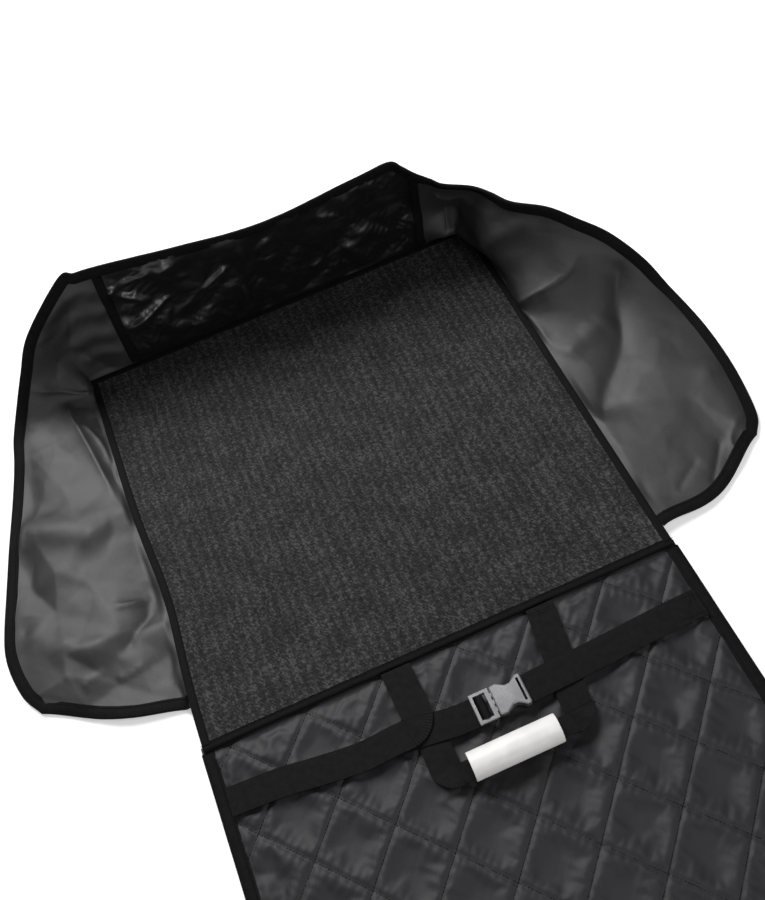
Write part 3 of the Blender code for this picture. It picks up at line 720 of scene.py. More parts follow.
@dataclass(frozen=True)
class QuiltCloth:
    """Woven polyester of the quilted panels, with a soft sheen."""

    name: str = "quilt_cloth"
    tone: tuple = (0.0160, 0.0153, 0.0180)
    rough: float = 0.54
    specular: float = 0.32

    def build(self) -> bpy.types.Material:
        """Make the material.

        Returns:
            The material.
        """
        shader = Shader(self.name)
        place = shader.mapped((1, 1, 1), "UV")
        grain = shader.noise(place, 1500.0, 2.0)
        crumple = shader.noise(place, 120.0, 3.0, 0.8)
        long = shader.mapped((1, 0.35, 1), "UV", 0.7)
        pucker = shader.noise(long, 150.0, 2.0, 0.4)
        colour = shader.ramp(grain, [(0.3, shaded(self.tone, 0.8)),
                                     (0.7, shaded(self.tone, 1.2))])
        fine = shader.bump(grain, 0.00006, 0.6)
        normal = shader.bump(pucker, 0.0007, 0.28, shader.bump(crumple, 0.0004, 0.25, fine))
        return shader.finish(colour, self.rough, normal, Specular_IOR_Level=self.specular,
                             Sheen_Weight=0.08, Sheen_Roughness=0.4)


@dataclass(frozen=True)
class WovenTape:
    """Matte woven tape and webbing, ribbed across its length."""

    name: str
    tone: tuple
    rib: float
    relief: float

    def build(self) -> bpy.types.Material:
        """Make the material.

        Returns:
            The material.
        """
        shader = Shader(self.name)
        place = shader.mapped((1, 1, 1), "UV")
        across = shader.wave(place, BAND_SCALE / self.rib, "Y")
        along = shader.wave(place, BAND_SCALE / (self.rib * 0.8), "X")
        twill = shader.math("MULTIPLY", across, shader.math("MULTIPLY_ADD", along, 0.6, 0.4))
        fuzz = shader.noise(place, 1200.0, 2.0)
        wear = shader.noise(place, 150.0, 4.0)
        grain = shader.math("MULTIPLY_ADD", fuzz, 0.30, shader.math("MULTIPLY", wear, 0.45))
        shade = shader.math("MULTIPLY_ADD", twill, 0.45, grain)
        colour = shader.ramp(shade, [(0.30, shaded(self.tone, 0.15)),
                                     (0.78, shaded(self.tone, 2.3))])
        normal = shader.bump(shade, self.relief, 0.8)
        return shader.finish(colour, 0.75, normal, Specular_IOR_Level=0.12)


@dataclass(frozen=True)
class MouldedPlastic:
    """Moulded plastic with faint unevenness."""

    name: str
    tone: tuple
    rough: float
    metal: float = 0.0

    def build(self) -> bpy.types.Material:
        """Make the material.

        Returns:
            The material.
        """
        shader = Shader(self.name)
        place = shader.mapped((1, 1, 1))
        grain = shader.noise(place, 900.0, 2.0)
        scuff = shader.noise(place, 60.0, 3.0)
        colour = shader.ramp(scuff, [(0.3, shaded(self.tone, 0.93)),
                                     (0.7, shaded(self.tone, 1.04))])
        rough = shader.math("MULTIPLY_ADD", scuff, 0.12, self.rough - 0.06)
        return shader.finish(colour, rough, shader.bump(grain, 0.00005, 0.4),
                             Metallic=self.metal)


@dataclass
class Finishes:
    """Every finish of the cover, built once."""

    knit: bpy.types.Material = field(default_factory=lambda: KnitMesh().build())
    coated: bpy.types.Material = field(default_factory=lambda: CoatedCloth().build())
    quilt: bpy.types.Material = field(default_factory=lambda: QuiltCloth().build())
    # Front panel: the same quilt cloth as the back, with its tone darkened far below the back's as
    # painted shade of the standing panel, which gets little light
    shaded_quilt_front: bpy.types.Material = field(default_factory=lambda: QuiltCloth(
        "quilt_cloth_front_painted_shade", (0.003, 0.003, 0.0033), 0.33, 0.7).build())
    tape: bpy.types.Material = field(default_factory=lambda: WovenTape(
        "binding_tape", (0.0036, 0.0036, 0.0037), 0.0008, 0.00015).build())
    webbing: bpy.types.Material = field(default_factory=lambda: WovenTape(
        "webbing", (0.0056, 0.0056, 0.0058), 0.0018, 0.0005).build())
    buckle: bpy.types.Material = field(default_factory=lambda: MouldedPlastic(
        "buckle_plastic", (0.36, 0.36, 0.37), 0.26, 0.60).build())
    tube: bpy.types.Material = field(default_factory=lambda: MouldedPlastic(
        "tube_plastic", (0.90, 0.89, 0.87), 0.42).build())
    thread: bpy.types.Material = field(default_factory=lambda: WovenTape(
        "thread", (0.010, 0.010, 0.010), 0.0006, 0.0001).build())


@dataclass(frozen=True)
class Fold:
    """One fold of the skirt's cloth.

    Its path is a list of (row, share): the row counts the skirt's drape rows from the
    left flap's near edge, and the share runs from the seam at 0 to the hem at 1.
    """

    kind: FoldKind
    path: tuple
    width: float
    height: float
    sharpness: float = 1.6
    taper: float = 0.22
    taper_start: float = 0.08

    def lift(self, points: Array, place: Callable) -> Array:
        """Height that the fold adds at each cloth point.

        Args:
            points: Cloth points before folding.
            place: Function from (row, share) to a point of the cloth.

        Returns:
            Lift along the cloth's normal.
        """
        line = catmull_rom([place(row, share) for row, share in self.path], 6)
        flat = points.reshape(-1, 3)
        best = np.full(len(flat), np.inf)
        along = np.zeros(len(flat))
        for i, (a, b) in enumerate(zip(line[:-1], line[1:])):
            span = b - a
            t = np.clip((flat - a) @ span / max(span @ span, 1e-12), 0, 1)
            offset = flat - (a + t[:, None] * span)
            distance = np.linalg.norm(offset, axis=1)
            nearer = distance < best
            best = np.where(nearer, distance, best)
            along = np.where(nearer, (i + t) / (len(line) - 1), along)
        fade = smooth_step(np.minimum(along, 1 - along) / self.taper + self.taper_start)
        reach = best / self.width
        if self.kind is FoldKind.RIDGE:
            lift = np.exp(-reach**2)
        else:
            lift = np.exp(-reach * self.sharpness)
        return (self.height * lift * fade).reshape(points.shape[:-1])


def ridge(width: float, height: float, *path: tuple) -> Fold:
    """Round fold along a path of (row, share)."""
    return Fold(FoldKind.RIDGE, path, width, height)


def crease(width: float, height: float, *path: tuple) -> Fold:
    """Sharp fold along a path of (row, share)."""
    return Fold(FoldKind.CREASE, path, width, height)


@dataclass(frozen=True)
class Crumple:
    """Flat facets with sharp creases between them, as in stiff coated cloth."""

    spacing: float
    height: float
    seed: int
    scatter: float = 0.38

    def lift(self, flat: Array) -> Array:
        """Height of the facets.

        Args:
            flat: Positions along and across the cloth, in metres.

        Returns:
            Height at each position.
        """
        chance = np.random.default_rng(self.seed)
        points = flat.reshape(-1, 2)
        low, high = points.min(0) - self.spacing, points.max(0) + self.spacing
        counts = np.ceil((high - low) / self.spacing).astype(int) + 1
        cells = np.stack(np.meshgrid(*(np.arange(n) for n in counts)), -1).reshape(-1, 2)
        shift = chance.uniform(-self.scatter, self.scatter, cells.shape)
        corners = low + self.spacing * (cells + shift)
        heights = self.height * chance.uniform(-1, 1, len(corners))
        result = delaunay_2d_cdt([Vector(corner) for corner in corners], [], [], 0, 1e-6)
        places = np.array(result[0])
        levels = np.array([heights[sources[0]] for sources in result[3]])
        lift = np.zeros(len(points))
        for face in result[2]:
            a, b, c = places[face]
            turn = np.linalg.inv(np.column_stack([b - a, c - a]))
            share = (points - a) @ turn.T
            inside = (share.min(1) >= -1e-9) & (share.sum(1) <= 1 + 1e-9)
            steps = levels[face[1:]] - levels[face[0]]
            lift[inside] = levels[face[0]] + share[inside] @ steps
        return lift.reshape(flat.shape[:-1])


@dataclass
class Skirt:
    """Cloth of the standing front panel and both side flaps, as one folded surface."""

    # Per rib, counted from a far seat corner: share of the side seam, hem's share along,
    # out and up, lift of the belly, bulge inward. The first rib is the flap's near edge.
    left: tuple = ((1.000, 0.860, 0.850, 0.000, 0.000, 0.000),
                   (0.880, 0.800, 0.940, 0.000, 0.004, 0.000),
                   (0.740, 0.700, 0.990, 0.000, 0.007, 0.000),
                   (0.600, 0.596, 0.950, 0.000, 0.007, 0.000),
                   (0.440, 0.431, 0.845, 0.004, 0.009, 0.000),
                   (0.265, 0.253, 0.720, 0.018, 0.009, 0.000),
                   (0.170, 0.175, 0.655, 0.055, 0.010, 0.000),
                   (0.110, 0.108, 0.605, 0.105, 0.004, 0.000),
                   (0.066, 0.055, 0.505, 0.235, -0.006, 0.000),
                   (0.032, 0.020, 0.365, 0.455, -0.016, 0.000),
                   (0.000, 0.000, 0.190, 0.735, -0.004, 0.000))
    right: tuple = ((1.000, 0.884, 0.832, 0.000, 0.000, 0.000),
                    (0.900, 0.838, 0.912, 0.000, 0.004, 0.000),
                    (0.780, 0.730, 0.975, 0.000, 0.007, 0.000),
                    (0.650, 0.630, 1.000, 0.000, 0.007, 0.000),
                    (0.530, 0.535, 1.000, 0.000, 0.008, 0.000),
                    (0.430, 0.440, 0.960, 0.035, 0.012, 0.000),
                    (0.365, 0.380, 0.850, 0.240, 0.012, 0.000),
                    (0.310, 0.335, 0.655, 0.500, 0.004, 0.004),
                    (0.250, 0.296, 0.470, 0.650, -0.004, 0.012),
                    (0.190, 0.257, 0.310, 0.750, -0.008, 0.018),
                    (0.130, 0.199, 0.130, 0.750, -0.006, 0.020),
                    (0.060, 0.148, 0.050, 0.750, -0.004, 0.018),
                    (0.000, 0.105, -0.040, 0.750, 0.000, 0.012))
    # Per rib: share across the front seam, hem's lean inward, share up, shift sideways
    front: tuple = ((0.040, -0.018, 0.985, 0.007), (0.080, -0.016, 0.985, 0.005),
                    (0.121, -0.014, 0.980, 0.006), (0.200, -0.008, 0.960, 0.010),
                    (0.320, 0.001, 0.940, 0.008), (0.440, 0.010, 0.925, 0.004),
                    (0.560, 0.013, 0.925, 0.000), (0.680, 0.009, 0.940, -0.001),
                    (0.780, 0.007, 0.960, -0.002), (0.835, 0.010, 0.985, -0.002),
                    (0.858, 0.017, 0.945, -0.003), (0.879, 0.025, 0.890, -0.003),
                    (0.920, 0.030, 0.800, -0.007), (0.960, 0.038, 0.752, -0.016))
    edge_bow: tuple = (0.010, 0.019)
    steps: int = 16
    shares: int = 72
    left_end: int = 13
    right_start: int = 22
    folds: tuple = ()
    # Stiff facets of the coated cloth, large and small
    facets: tuple = (Crumple(0.052, 0.0062, 4), Crumple(0.022, 0.0016, 9))
    # Height, scale and seed of the soft swells and of the fine unevenness
    swell: tuple = (0.0030, 7.0, 3.1)
    unevenness: tuple = (0.0003, 34.0, 8.7)
    # The far right corner laid over the seat: its row, spread in rows, reach inward and rise
    corner: tuple = (24.6, 1.9, 0.024, 0.006)

    def __post_init__(self) -> None:
        """Work out the drape rows and the folded surface."""
        rows = [self.side_row(row, Side.LEFT, LEFT_FLAP_LENGTH) for row in self.left]
        rows += [self.front_row(row) for row in self.front]
        rows += [self.side_row(row, Side.RIGHT, RIGHT_FLAP_LENGTH) for row in self.right[::-1]]
        places, bellies, hems, bulges = (catmull_rom(line, self.steps) for line in zip(*rows))
        hems[:, 2] = np.maximum(hems[:, 2], HEM_Z)
        bellies[:, 2] = np.maximum(bellies[:, 2], HEM_Z)
        seams = np.array([self.seam_point(place[0]) for place in places])
        seams[:, 0] += seam_inset(seams[:, 0], seams[:, 1])
        self.ribs = np.stack([seams, bellies, hems, bulges], 1)
        share = np.linspace(0, 1, self.shares + 1)
        self.share = share
        self.base = self.at(self.ribs, share)
        self.uv = self.flat_positions()
        self.grid = self.folded()

    @staticmethod
    def seam_point(place: float) -> list:
        """Point of the seam at a distance from the middle of the front, to the right.

        Args:
            place: Distance along the seam, negative to the left.

        Returns:
            The point.
        """
        edge_x, edge_y = SIDE_X + SEAM_OUT, FRONT_Y + SEAM_OUT
        if abs(place) <= SIDE_X:
            return [place * edge_x / SIDE_X, edge_y, SEAM_Z]
        return [math.copysign(edge_x, place), edge_y - (abs(place) - SIDE_X), SEAM_Z]

    @staticmethod
    def belly(seam: Array, hem: Array, up: float) -> Array:
        """Point half way out, nearer to the seam in plan where the cloth stands up.

        Args:
            seam: Row's point on the seam.
            hem: Row's point on the hem.
            up: How high the hem stands, as a share of the skirt's height.

        Returns:
            The point.
        """
        lean = 0.5 - 0.2 * min(up / 0.5, 1.0)
        point = seam * (1 - lean) + hem * lean
        point[2] = (seam[2] + hem[2]) / 2
        return point

    def side_row(self, row: tuple, side: Side, length: float) -> tuple:
        """Guide points of a side flap's row.

        Args:
            row: Row of the table.
            side: Side of the seat.
            length: Flap's length along the seam.

        Returns:
            Place on the seam, belly, hem and bulge.
        """
        seam_share, along, out, up, lift, inward = row
        place = side.value * (SIDE_X + seam_share * length)
        seam = np.array(self.seam_point(place))
        hem = np.array([side.value * (SIDE_X + SEAM_OUT + out * FLAP_WIDTH),
                        FRONT_Y - along * length, HEM_Z + up * SKIRT_HEIGHT])
        belly = self.belly(seam, hem, up) + (0, 0, lift)
        bow = self.edge_bow[side is Side.RIGHT] if seam_share == 1.0 else 0.0
        return (place, 0, 0), belly, hem, (-side.value * inward, -bow, 0)

    def front_row(self, row: tuple) -> tuple:
        """Guide points of a row along the front seam.

        Args:
            row: Row of the table.

        Returns:
            Place on the seam, belly, hem and bulge.
        """
        share, inward, up, sideways = row
        place = (share - 0.5) * SEAT_WIDTH
        seam = np.array(self.seam_point(place))
        hem = seam + (sideways, -inward, up * SKIRT_HEIGHT)
        return (place, 0, 0), self.belly(seam, hem, up), hem, (0, 0.004, 0)

    @staticmethod
    def at(ribs: Array, share: Array) -> Array:
        """Points of ribs at shares from the seam at 0 to the hem at 1.

        Args:
            ribs: Seam, belly, hem and bulge of each rib.
            share: Shares along a rib.

        Returns:
            Grid of points, one row to a rib.
        """
        s = np.asarray(share)[None, :, None]
        middle = 4 * s * (1 - s)
        return (ribs[:, None, 0] * (1 - s) * (1 - 2 * s) + ribs[:, None, 1] * middle
                + ribs[:, None, 2] * s * (2 * s - 1) + ribs[:, None, 3] * middle**2)

    def place(self, row: float, share: float) -> Array:
        """Point of the unfolded cloth at a drape row and share.

        Args:
            row: Drape row.
            share: Share from the seam to the hem.

        Returns:
            The point.
        """
        position = row * self.steps
        low = min(int(position), len(self.ribs) - 2)
        pair = self.at(self.ribs[low:low + 2], [share])[:, 0]
        return pair[0] + (pair[1] - pair[0]) * (position - low)

    def flat_positions(self) -> Array:
        """Distance along the middle of the cloth and out from the seam, per grid point.

        Returns:
            Distances in metres, for each grid point.
        """
        middle = self.base[:, self.shares // 2]
        along = np.concatenate([[0], np.cumsum(np.linalg.norm(np.diff(middle, axis=0), axis=1))])
        out = np.cumsum(np.linalg.norm(np.diff(self.base, axis=1), axis=2), axis=1)
        out = np.hstack([np.zeros((len(along), 1)), out])
        return np.stack([np.repeat(along[:, None], self.shares + 1, 1), out], -1)

    def folded(self) -> Array:
        """Surface with every fold and a soft unevenness, kept above the floor.

        Returns:
            Grid of points.
        """
        normals = grid_normals(self.base)
        if normals[self.steps * 2, self.shares // 2, 2] < 0:
            normals = -normals
        lift = sum((fold.lift(self.base, self.place) for fold in self.folds),
                   np.zeros(self.base.shape[:2]))
        for strength, facets in zip(self.crispness(), self.facets):
            lift += strength * facets.lift(self.uv)
        height, scale, seed = self.swell
        lift += height * (0.25 - np.abs(noise_field(self.base, scale, seed, 1)))
        height, scale, seed = self.unevenness
        lift += height * noise_field(self.base, scale, seed)
        pinned = (smooth_step(self.share / 0.05) * (0.15 + 0.85 * smooth_step(
            (1 - self.share) / 0.20)))[None, :]
        grid = self.base + normals * (lift * pinned)[..., None] + self.overhang()
        level = grid[..., 2]
        eased = FLOOR_GAP + FLOOR_EASE * np.exp((level - FLOOR_GAP - FLOOR_EASE) / FLOOR_EASE)
        grid[..., 2] = np.where(level < FLOOR_GAP + FLOOR_EASE, eased, level)
        return grid

    def crispness(self) -> tuple:
        """Strength of the large and of the small facets at each drape row.

        The front panel, between its two corners, is quilted: it keeps little of the large
        facets and more of the small ones.

        Returns:
            Both strengths, as columns with one line to a grid row.
        """
        row = np.arange(len(self.base))[:, None] / self.steps
        crisp = 1 - 0.80 * smooth_step((row - 10.5) / 2) + 0.25 * smooth_step((row - 22) / 3)
        wall = smooth_step((row - 12.4) / 0.8) * (1 - smooth_step((row - 21.4) / 0.8))
        return crisp, 0.8 * crisp + 1.5 * wall

    def overhang(self) -> Array:
        """Shift that lays the cloth of the far right corner over the seat's corner.

        Returns:
            Shift of each grid point.
        """
        corner_row, spread, inward, upward = self.corner
        row = np.arange(len(self.ribs))[:, None] / self.steps
        share = self.share[None, :]
        near = np.exp(-((row - corner_row) / spread) ** 2)
        low = smooth_step(share / 0.10) * (1 - smooth_step((share - 0.14) / 0.34))
        reach = inward * near * low
        rise = upward * near * smooth_step(share / 0.06) * (1 - smooth_step((share - 0.1) / 0.3))
        return np.stack([-0.9 * reach, -0.75 * reach, rise], -1)

    def part(self, first: int, last: int) -> tuple:
        """Grid and flat positions between two drape rows."""
        rows = slice(first * self.steps, last * self.steps + 1)
        return self.grid[rows], self.uv[rows]


@dataclass
class QuiltPattern:
    """Diamond stitching: height and puckers of the cloth between stitch lines."""

    half: tuple = QUILT_HALF
    node: tuple = QUILT_NODE
    loft: float = 0.0034
    pucker: float = 0.0006
    seed: float = 1.7
    roundness: float = 2.2
    gathers: float = 46.0

    def lines(self, x: Array, y: Array) -> tuple:
        """Distances to the nearest stitch line of each family, in half diamonds.

        Args:
            x: Flat X.
            y: Flat Y.

        Returns:
            Both distances, and both families' own coordinates.
        """
        a = (x - self.node[0]) / (2 * self.half[0])
        b = (y - self.node[1]) / (2 * self.half[1])
        first, second = a + b, a - b
        return (np.abs(first - np.round(first)) * 2, np.abs(second - np.round(second)) * 2,
                first, second)

    def distance(self, x: Array, y: Array) -> Array:
        """Distance to the nearest stitch line, in metres.

        Args:
            x: Flat X.
            y: Flat Y.

        Returns:
            Distance at each point.
        """
        first, second, _, _ = self.lines(x, y)
        spread = self.half[0] * self.half[1] / math.hypot(*self.half)
        return np.minimum(first, second) * spread

    def rows(self, low: tuple, high: tuple) -> list:
        """Stitch lines inside a rectangle, as rows of flat points.

        Args:
            low: Rectangle's low corner.
            high: Rectangle's high corner.

        Returns:
            One array of points to each line.
        """
        found = []
        x = np.arange(low[0], high[0], 0.002)
        for slope in (-1, 1):
            for k in range(-24, 25):
                steps = (x - self.node[0]) / self.half[0] - 2 * k
                y = self.node[1] + slope * self.half[1] * steps
                inside = (y > low[1]) & (y < high[1])
                if np.count_nonzero(inside) > 4:
                    found.append(np.stack([x[inside], y[inside]], -1))
        return found

    def height(self, x: Array, y: Array) -> Array:
        """Rise of the padded cloth above its stitch lines.

        Args:
            x: Flat X.
            y: Flat Y.

        Returns:
            Rise at each point, in metres.
        """
        first, second, p, q = self.lines(x, y)
        dome = (1 - (1 - first) ** self.roundness) * (1 - (1 - second) ** self.roundness)
        near = np.exp(-(np.minimum(first, second) / 0.34) ** 1.2)
        points = np.stack([x, y, np.zeros_like(x)], -1)
        tension = noise_field(points, 90.0, self.seed, 2)
        along = np.where(first < second, q, p)
        sway = 7 * noise_field(points, 24.0, self.seed + 4, 1)
        gather = np.sin(along * self.gathers + sway)
        pucker = near * gather * (0.55 + 0.45 * tension)
        return self.loft * np.sqrt(np.clip(dome, 0, 1)) + self.pucker * pucker * np.minimum(
            1, np.minimum(first, second) * 12)


@dataclass
class BackPanel:
    """Quilted back panel with its bound edges."""

    finishes: Finishes
    thread: Stitches
    pitch: float = 0.0027
    rise_limit: float = 0.0065
    stitched_inside: float = 0.013
    # Thickness left between the top and the bottom's lines of stitches, above and below
    top_share: float = 0.0010
    bottom_share: float = 0.0011
    # Edge that the binding presses flat
    pressed: float = 0.008
    pattern: QuiltPattern = field(default_factory=QuiltPattern)

    def build(self) -> None:
        """Make the pad."""
        half = BACK_WIDTH / 2 - 0.0015
        low_y, high_y = BACK_END_Y + 0.0015, CROSS_Y - 0.001
        nx = round(2 * half / self.pitch)
        ny = round((high_y - low_y) / self.pitch)
        x, y = np.meshgrid(np.linspace(-half, half, nx + 1), np.linspace(low_y, high_y, ny + 1))
        edge = np.minimum(np.minimum(x + half, half - x), np.minimum(y - low_y, high_y - y))
        squeeze = smooth_step((edge - self.pressed) / 0.014)
        rise = self.pattern.height(x, y) * squeeze
        flat = np.stack([x, y, rise], -1)
        away = self.pattern.distance(x, y)
        held = np.maximum(away < SEWN_HALF, edge < 0.0100).astype(float)
        puffed = ClothSettings(growth=0.009, pressure=0.3).relax(flat, held)
        puffed[..., 2] = self.rise_limit * np.tanh(puffed[..., 2] / self.rise_limit)
        LOG.info("back quilt: rise %.4f to %.4f", puffed[..., 2].min(), puffed[..., 2].max())
        middle = PAD_THICKNESS / 2
        groove = np.exp(-(away / GROOVE_HALF) ** 2)
        top = puffed + (0, 0, middle + self.top_share)
        top[..., 2] -= GROOVE_DEPTH * groove
        top[..., 2] = np.minimum(top[..., 2], self.strap_limit(top))
        bottom = flat * (1, 1, -1) + (0, 0, middle - self.bottom_share)
        bottom[..., 2] = np.maximum(bottom[..., 2], 0.0)
        mesh = shell_mesh("back_quilt", top, bottom, flat[..., :2])
        pad = finished("back_quilt", mesh, self.finishes.quilt, CLOTH_ANGLE)
        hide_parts("back_pad")
        sewn = []
        inside = self.stitched_inside
        for row in self.pattern.rows((-half + inside, low_y + inside),
                                     (half - inside, high_y - 0.008)):
            i = np.round((row[:, 1] - low_y) / (high_y - low_y) * (len(top) - 1)).astype(int)
            j = np.round((row[:, 0] + half) / (2 * half) * (top.shape[1] - 1)).astype(int)
            sewn.append(np.column_stack([row, top[i, j, 2] + 0.0002]))
        self.thread.sew("back_stitches", sewn, self.finishes.thread, "quilt")

    @staticmethod
    def strap_limit(top: Array) -> Array:
        """Greatest height of the quilt, where straps press it down.

        Args:
            top: Points of the quilt's top.

        Returns:
            Greatest height of each point.
        """
        limit = np.full(top.shape[:2], 0.02)
        bands = [((0.05, -0.3475), (0.26, -0.338)), ((0.05, -0.3485), (-0.26, -0.332)),
                 ((-0.054, -0.27), (-0.049, -0.39)), ((0.108, -0.27), (0.096, -0.39)),
                 ((-0.26, HEADREST_STRAP_Y), (0.26, HEADREST_STRAP_Y))]
        for start, end in bands:
            a, span = np.array(start), np.array(end) - np.array(start)
            t = np.clip((top[..., :2] - a) @ span / (span @ span), 0, 1)
            away = np.linalg.norm(top[..., :2] - a - t[..., None] * span, axis=-1)
            rise = smooth_step((away - STRAP_PRESS) / STRAP_FADE)
            limit = np.minimum(limit, PRESSED_LEVEL + STRAP_FADE * rise)
        return limit


@dataclass
class SeatPanel:
    """Seat panel: quilted underside and knitted mesh on top."""

    finishes: Finishes
    thread: Stitches
    pattern: QuiltPattern = field(default_factory=lambda: QuiltPattern(node=(0.042, 0.0)))
    pad_points: tuple = (177, 175)
    mesh_points: tuple = (265, 150)
    mesh_thickness: float = 0.0009
    rib_pitch: float = 0.012
    band_thickness: float = 0.0010
    band_crown: float = 0.0004

    def grid(self, counts: tuple) -> tuple:
        """Flat X and Y of a grid over the panel, and X where the seam is pulled inward.

        Args:
            counts: Points across and along.

        Returns:
            X, Y and shifted X of each grid point.
        """
        half_x, half_y = self.half()
        x, y = np.meshgrid(np.linspace(-half_x, half_x, counts[0]),
                           np.linspace(-half_y, half_y, counts[1]))
        return x, y, x + seam_inset(x, y)

    @staticmethod
    def half() -> tuple:
        """Half of the panel's width and depth."""
        return SIDE_X - 0.0008, FRONT_Y - 0.0008

    def build(self) -> None:
        """Make the pad and its mesh cover."""
        x, y, shifted = self.grid(self.pad_points)
        rise = self.pattern.height(x, y)
        bottom = np.maximum(0.0034 - rise, 0.0)
        top = np.full_like(x, PAD_THICKNESS)
        mesh = shell_mesh("seat_quilt", np.stack([shifted, y, top], -1),
                          np.stack([shifted, y, bottom], -1), np.stack([x, y], -1))
        pad = finished("seat_quilt", mesh, self.finishes.quilt, CLOTH_ANGLE)
        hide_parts("seat_pad")

        x, y, shifted = self.grid(self.mesh_points)
        half_x, half_y = self.half()
        points = np.stack([x, y, 0 * x], -1)
        wander = 0.0016 * noise_field(points * (1, 0.3, 1), 22.0, 2.0)
        ribs = 0.00010 * np.cos((x + wander) * 2 * math.pi / self.rib_pitch)
        swell = 0.0005 * noise_field(points, 7.0, 6.0)
        edge = np.minimum(np.minimum(x + half_x, half_x - x), np.minimum(y + half_y, half_y - y))
        top = PAD_THICKNESS + 0.0014 + (ribs + swell) * smooth_step(edge / 0.02)
        mesh = shell_mesh("seat_mesh_cover", np.stack([shifted, y, top], -1),
                          np.stack([shifted, y, top - self.mesh_thickness], -1),
                          np.stack([x, y], -1))
        cover = finished("seat_mesh_cover", mesh, self.finishes.knit, CLOTH_ANGLE)
        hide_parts("seat_mesh")
        self.tapes()

    def tapes(self) -> None:
        """Make the tapes over the mesh's side and front edges and over the cross seam."""
        sewn = []
        for side in Side:
            y = np.linspace(CROSS_Y - 0.002, FRONT_Y - 0.004, 120)
            edge = np.full_like(y, side.value * SIDE_X)
            x = edge + seam_inset(edge, y) - side.value * 0.0032
            line = np.stack([x, y, np.full_like(y, MESH_TOP + 0.0004)], -1)
            name = "seat_edge_" + side.name.lower()
            mesh = swept_mesh(name, strap_sections(line, 0.009, self.band_thickness,
                                                   self.band_crown))
            tape = finished(name, mesh, self.finishes.tape)
            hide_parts("seat_tape_" + side.name.lower())
            sewn.append(line - (side.value * 0.0030, 0, -0.0003))
        x = np.linspace(-SIDE_X - 0.0015, SIDE_X + 0.0015, 120)
        line = np.stack([x, np.full_like(x, FRONT_Y - 0.0036),
                         np.full_like(x, MESH_TOP + 0.0004)], -1)
        mesh = swept_mesh("seat_edge_front", strap_sections(line, 0.008, self.band_thickness,
                                                            self.band_crown))
        tape = finished("seat_edge_front", mesh, self.finishes.tape)
        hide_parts("seat_tape_front")
        sewn.append(line - (0, 0.0026, -0.0003))
        wave = 0.0006 * noise_field(np.stack([x, 0 * x, 0 * x], -1), 18.0, 4.0)
        line = np.stack([x, CROSS_Y - 0.0038 + wave, np.full_like(x, 0.0100)], -1)
        mesh = swept_mesh("cross_seam_binding", strap_sections(line, 0.0082, 0.0036, 0.0008))
        tape = finished("cross_seam_binding", mesh, self.finishes.tape)
        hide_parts("cross_binding")
        sewn.append(line + (0, 0.0022, 0.0009))
        self.thread.sew("seat_stitches", sewn, self.finishes.thread, "binding_tape")


def strap_sections(line: Array, width: float, thickness: float, crown: float = 0.0,
                   across: Array | None = None, points: int = 9) -> Array:
    """Cross-sections of a flat band along a line.

    Args:
        line: Points of the band's middle, on its upper face.
        width: Width of the band.
        thickness: Thickness, downward from the upper face.
        crown: Rise of its middle above its edges.
        across: Direction of its width at each point; flat and square to it if None.
        points: Number of points across the upper face.

    Returns:
        Rings of points.
    """
    tangent = np.gradient(line, axis=0)
    tangent /= np.linalg.norm(tangent, axis=1, keepdims=True)
    if across is None:
        across = np.cross(tangent, (0, 0, 1.0))
    across = across / np.linalg.norm(across, axis=1, keepdims=True)
    normal = np.cross(across, tangent)
    share = np.linspace(-1, 1, points)
    rise = crown * (1 - np.abs(share) ** 3) - 0.25 * thickness * np.abs(share) ** 12
    spread = across[:, None] * (share * np.broadcast_to(width, (len(line), 1)) / 2)[..., None]
    upper = line[:, None] + spread + normal[:, None] * rise[None, :, None]
    lower_rise = rise - thickness * (1 - 0.4 * np.abs(share) ** 12)
    lower = line[:, None] + spread + normal[:, None] * lower_rise[None, :, None]
    return np.concatenate([upper, lower[:, ::-1]], 1)


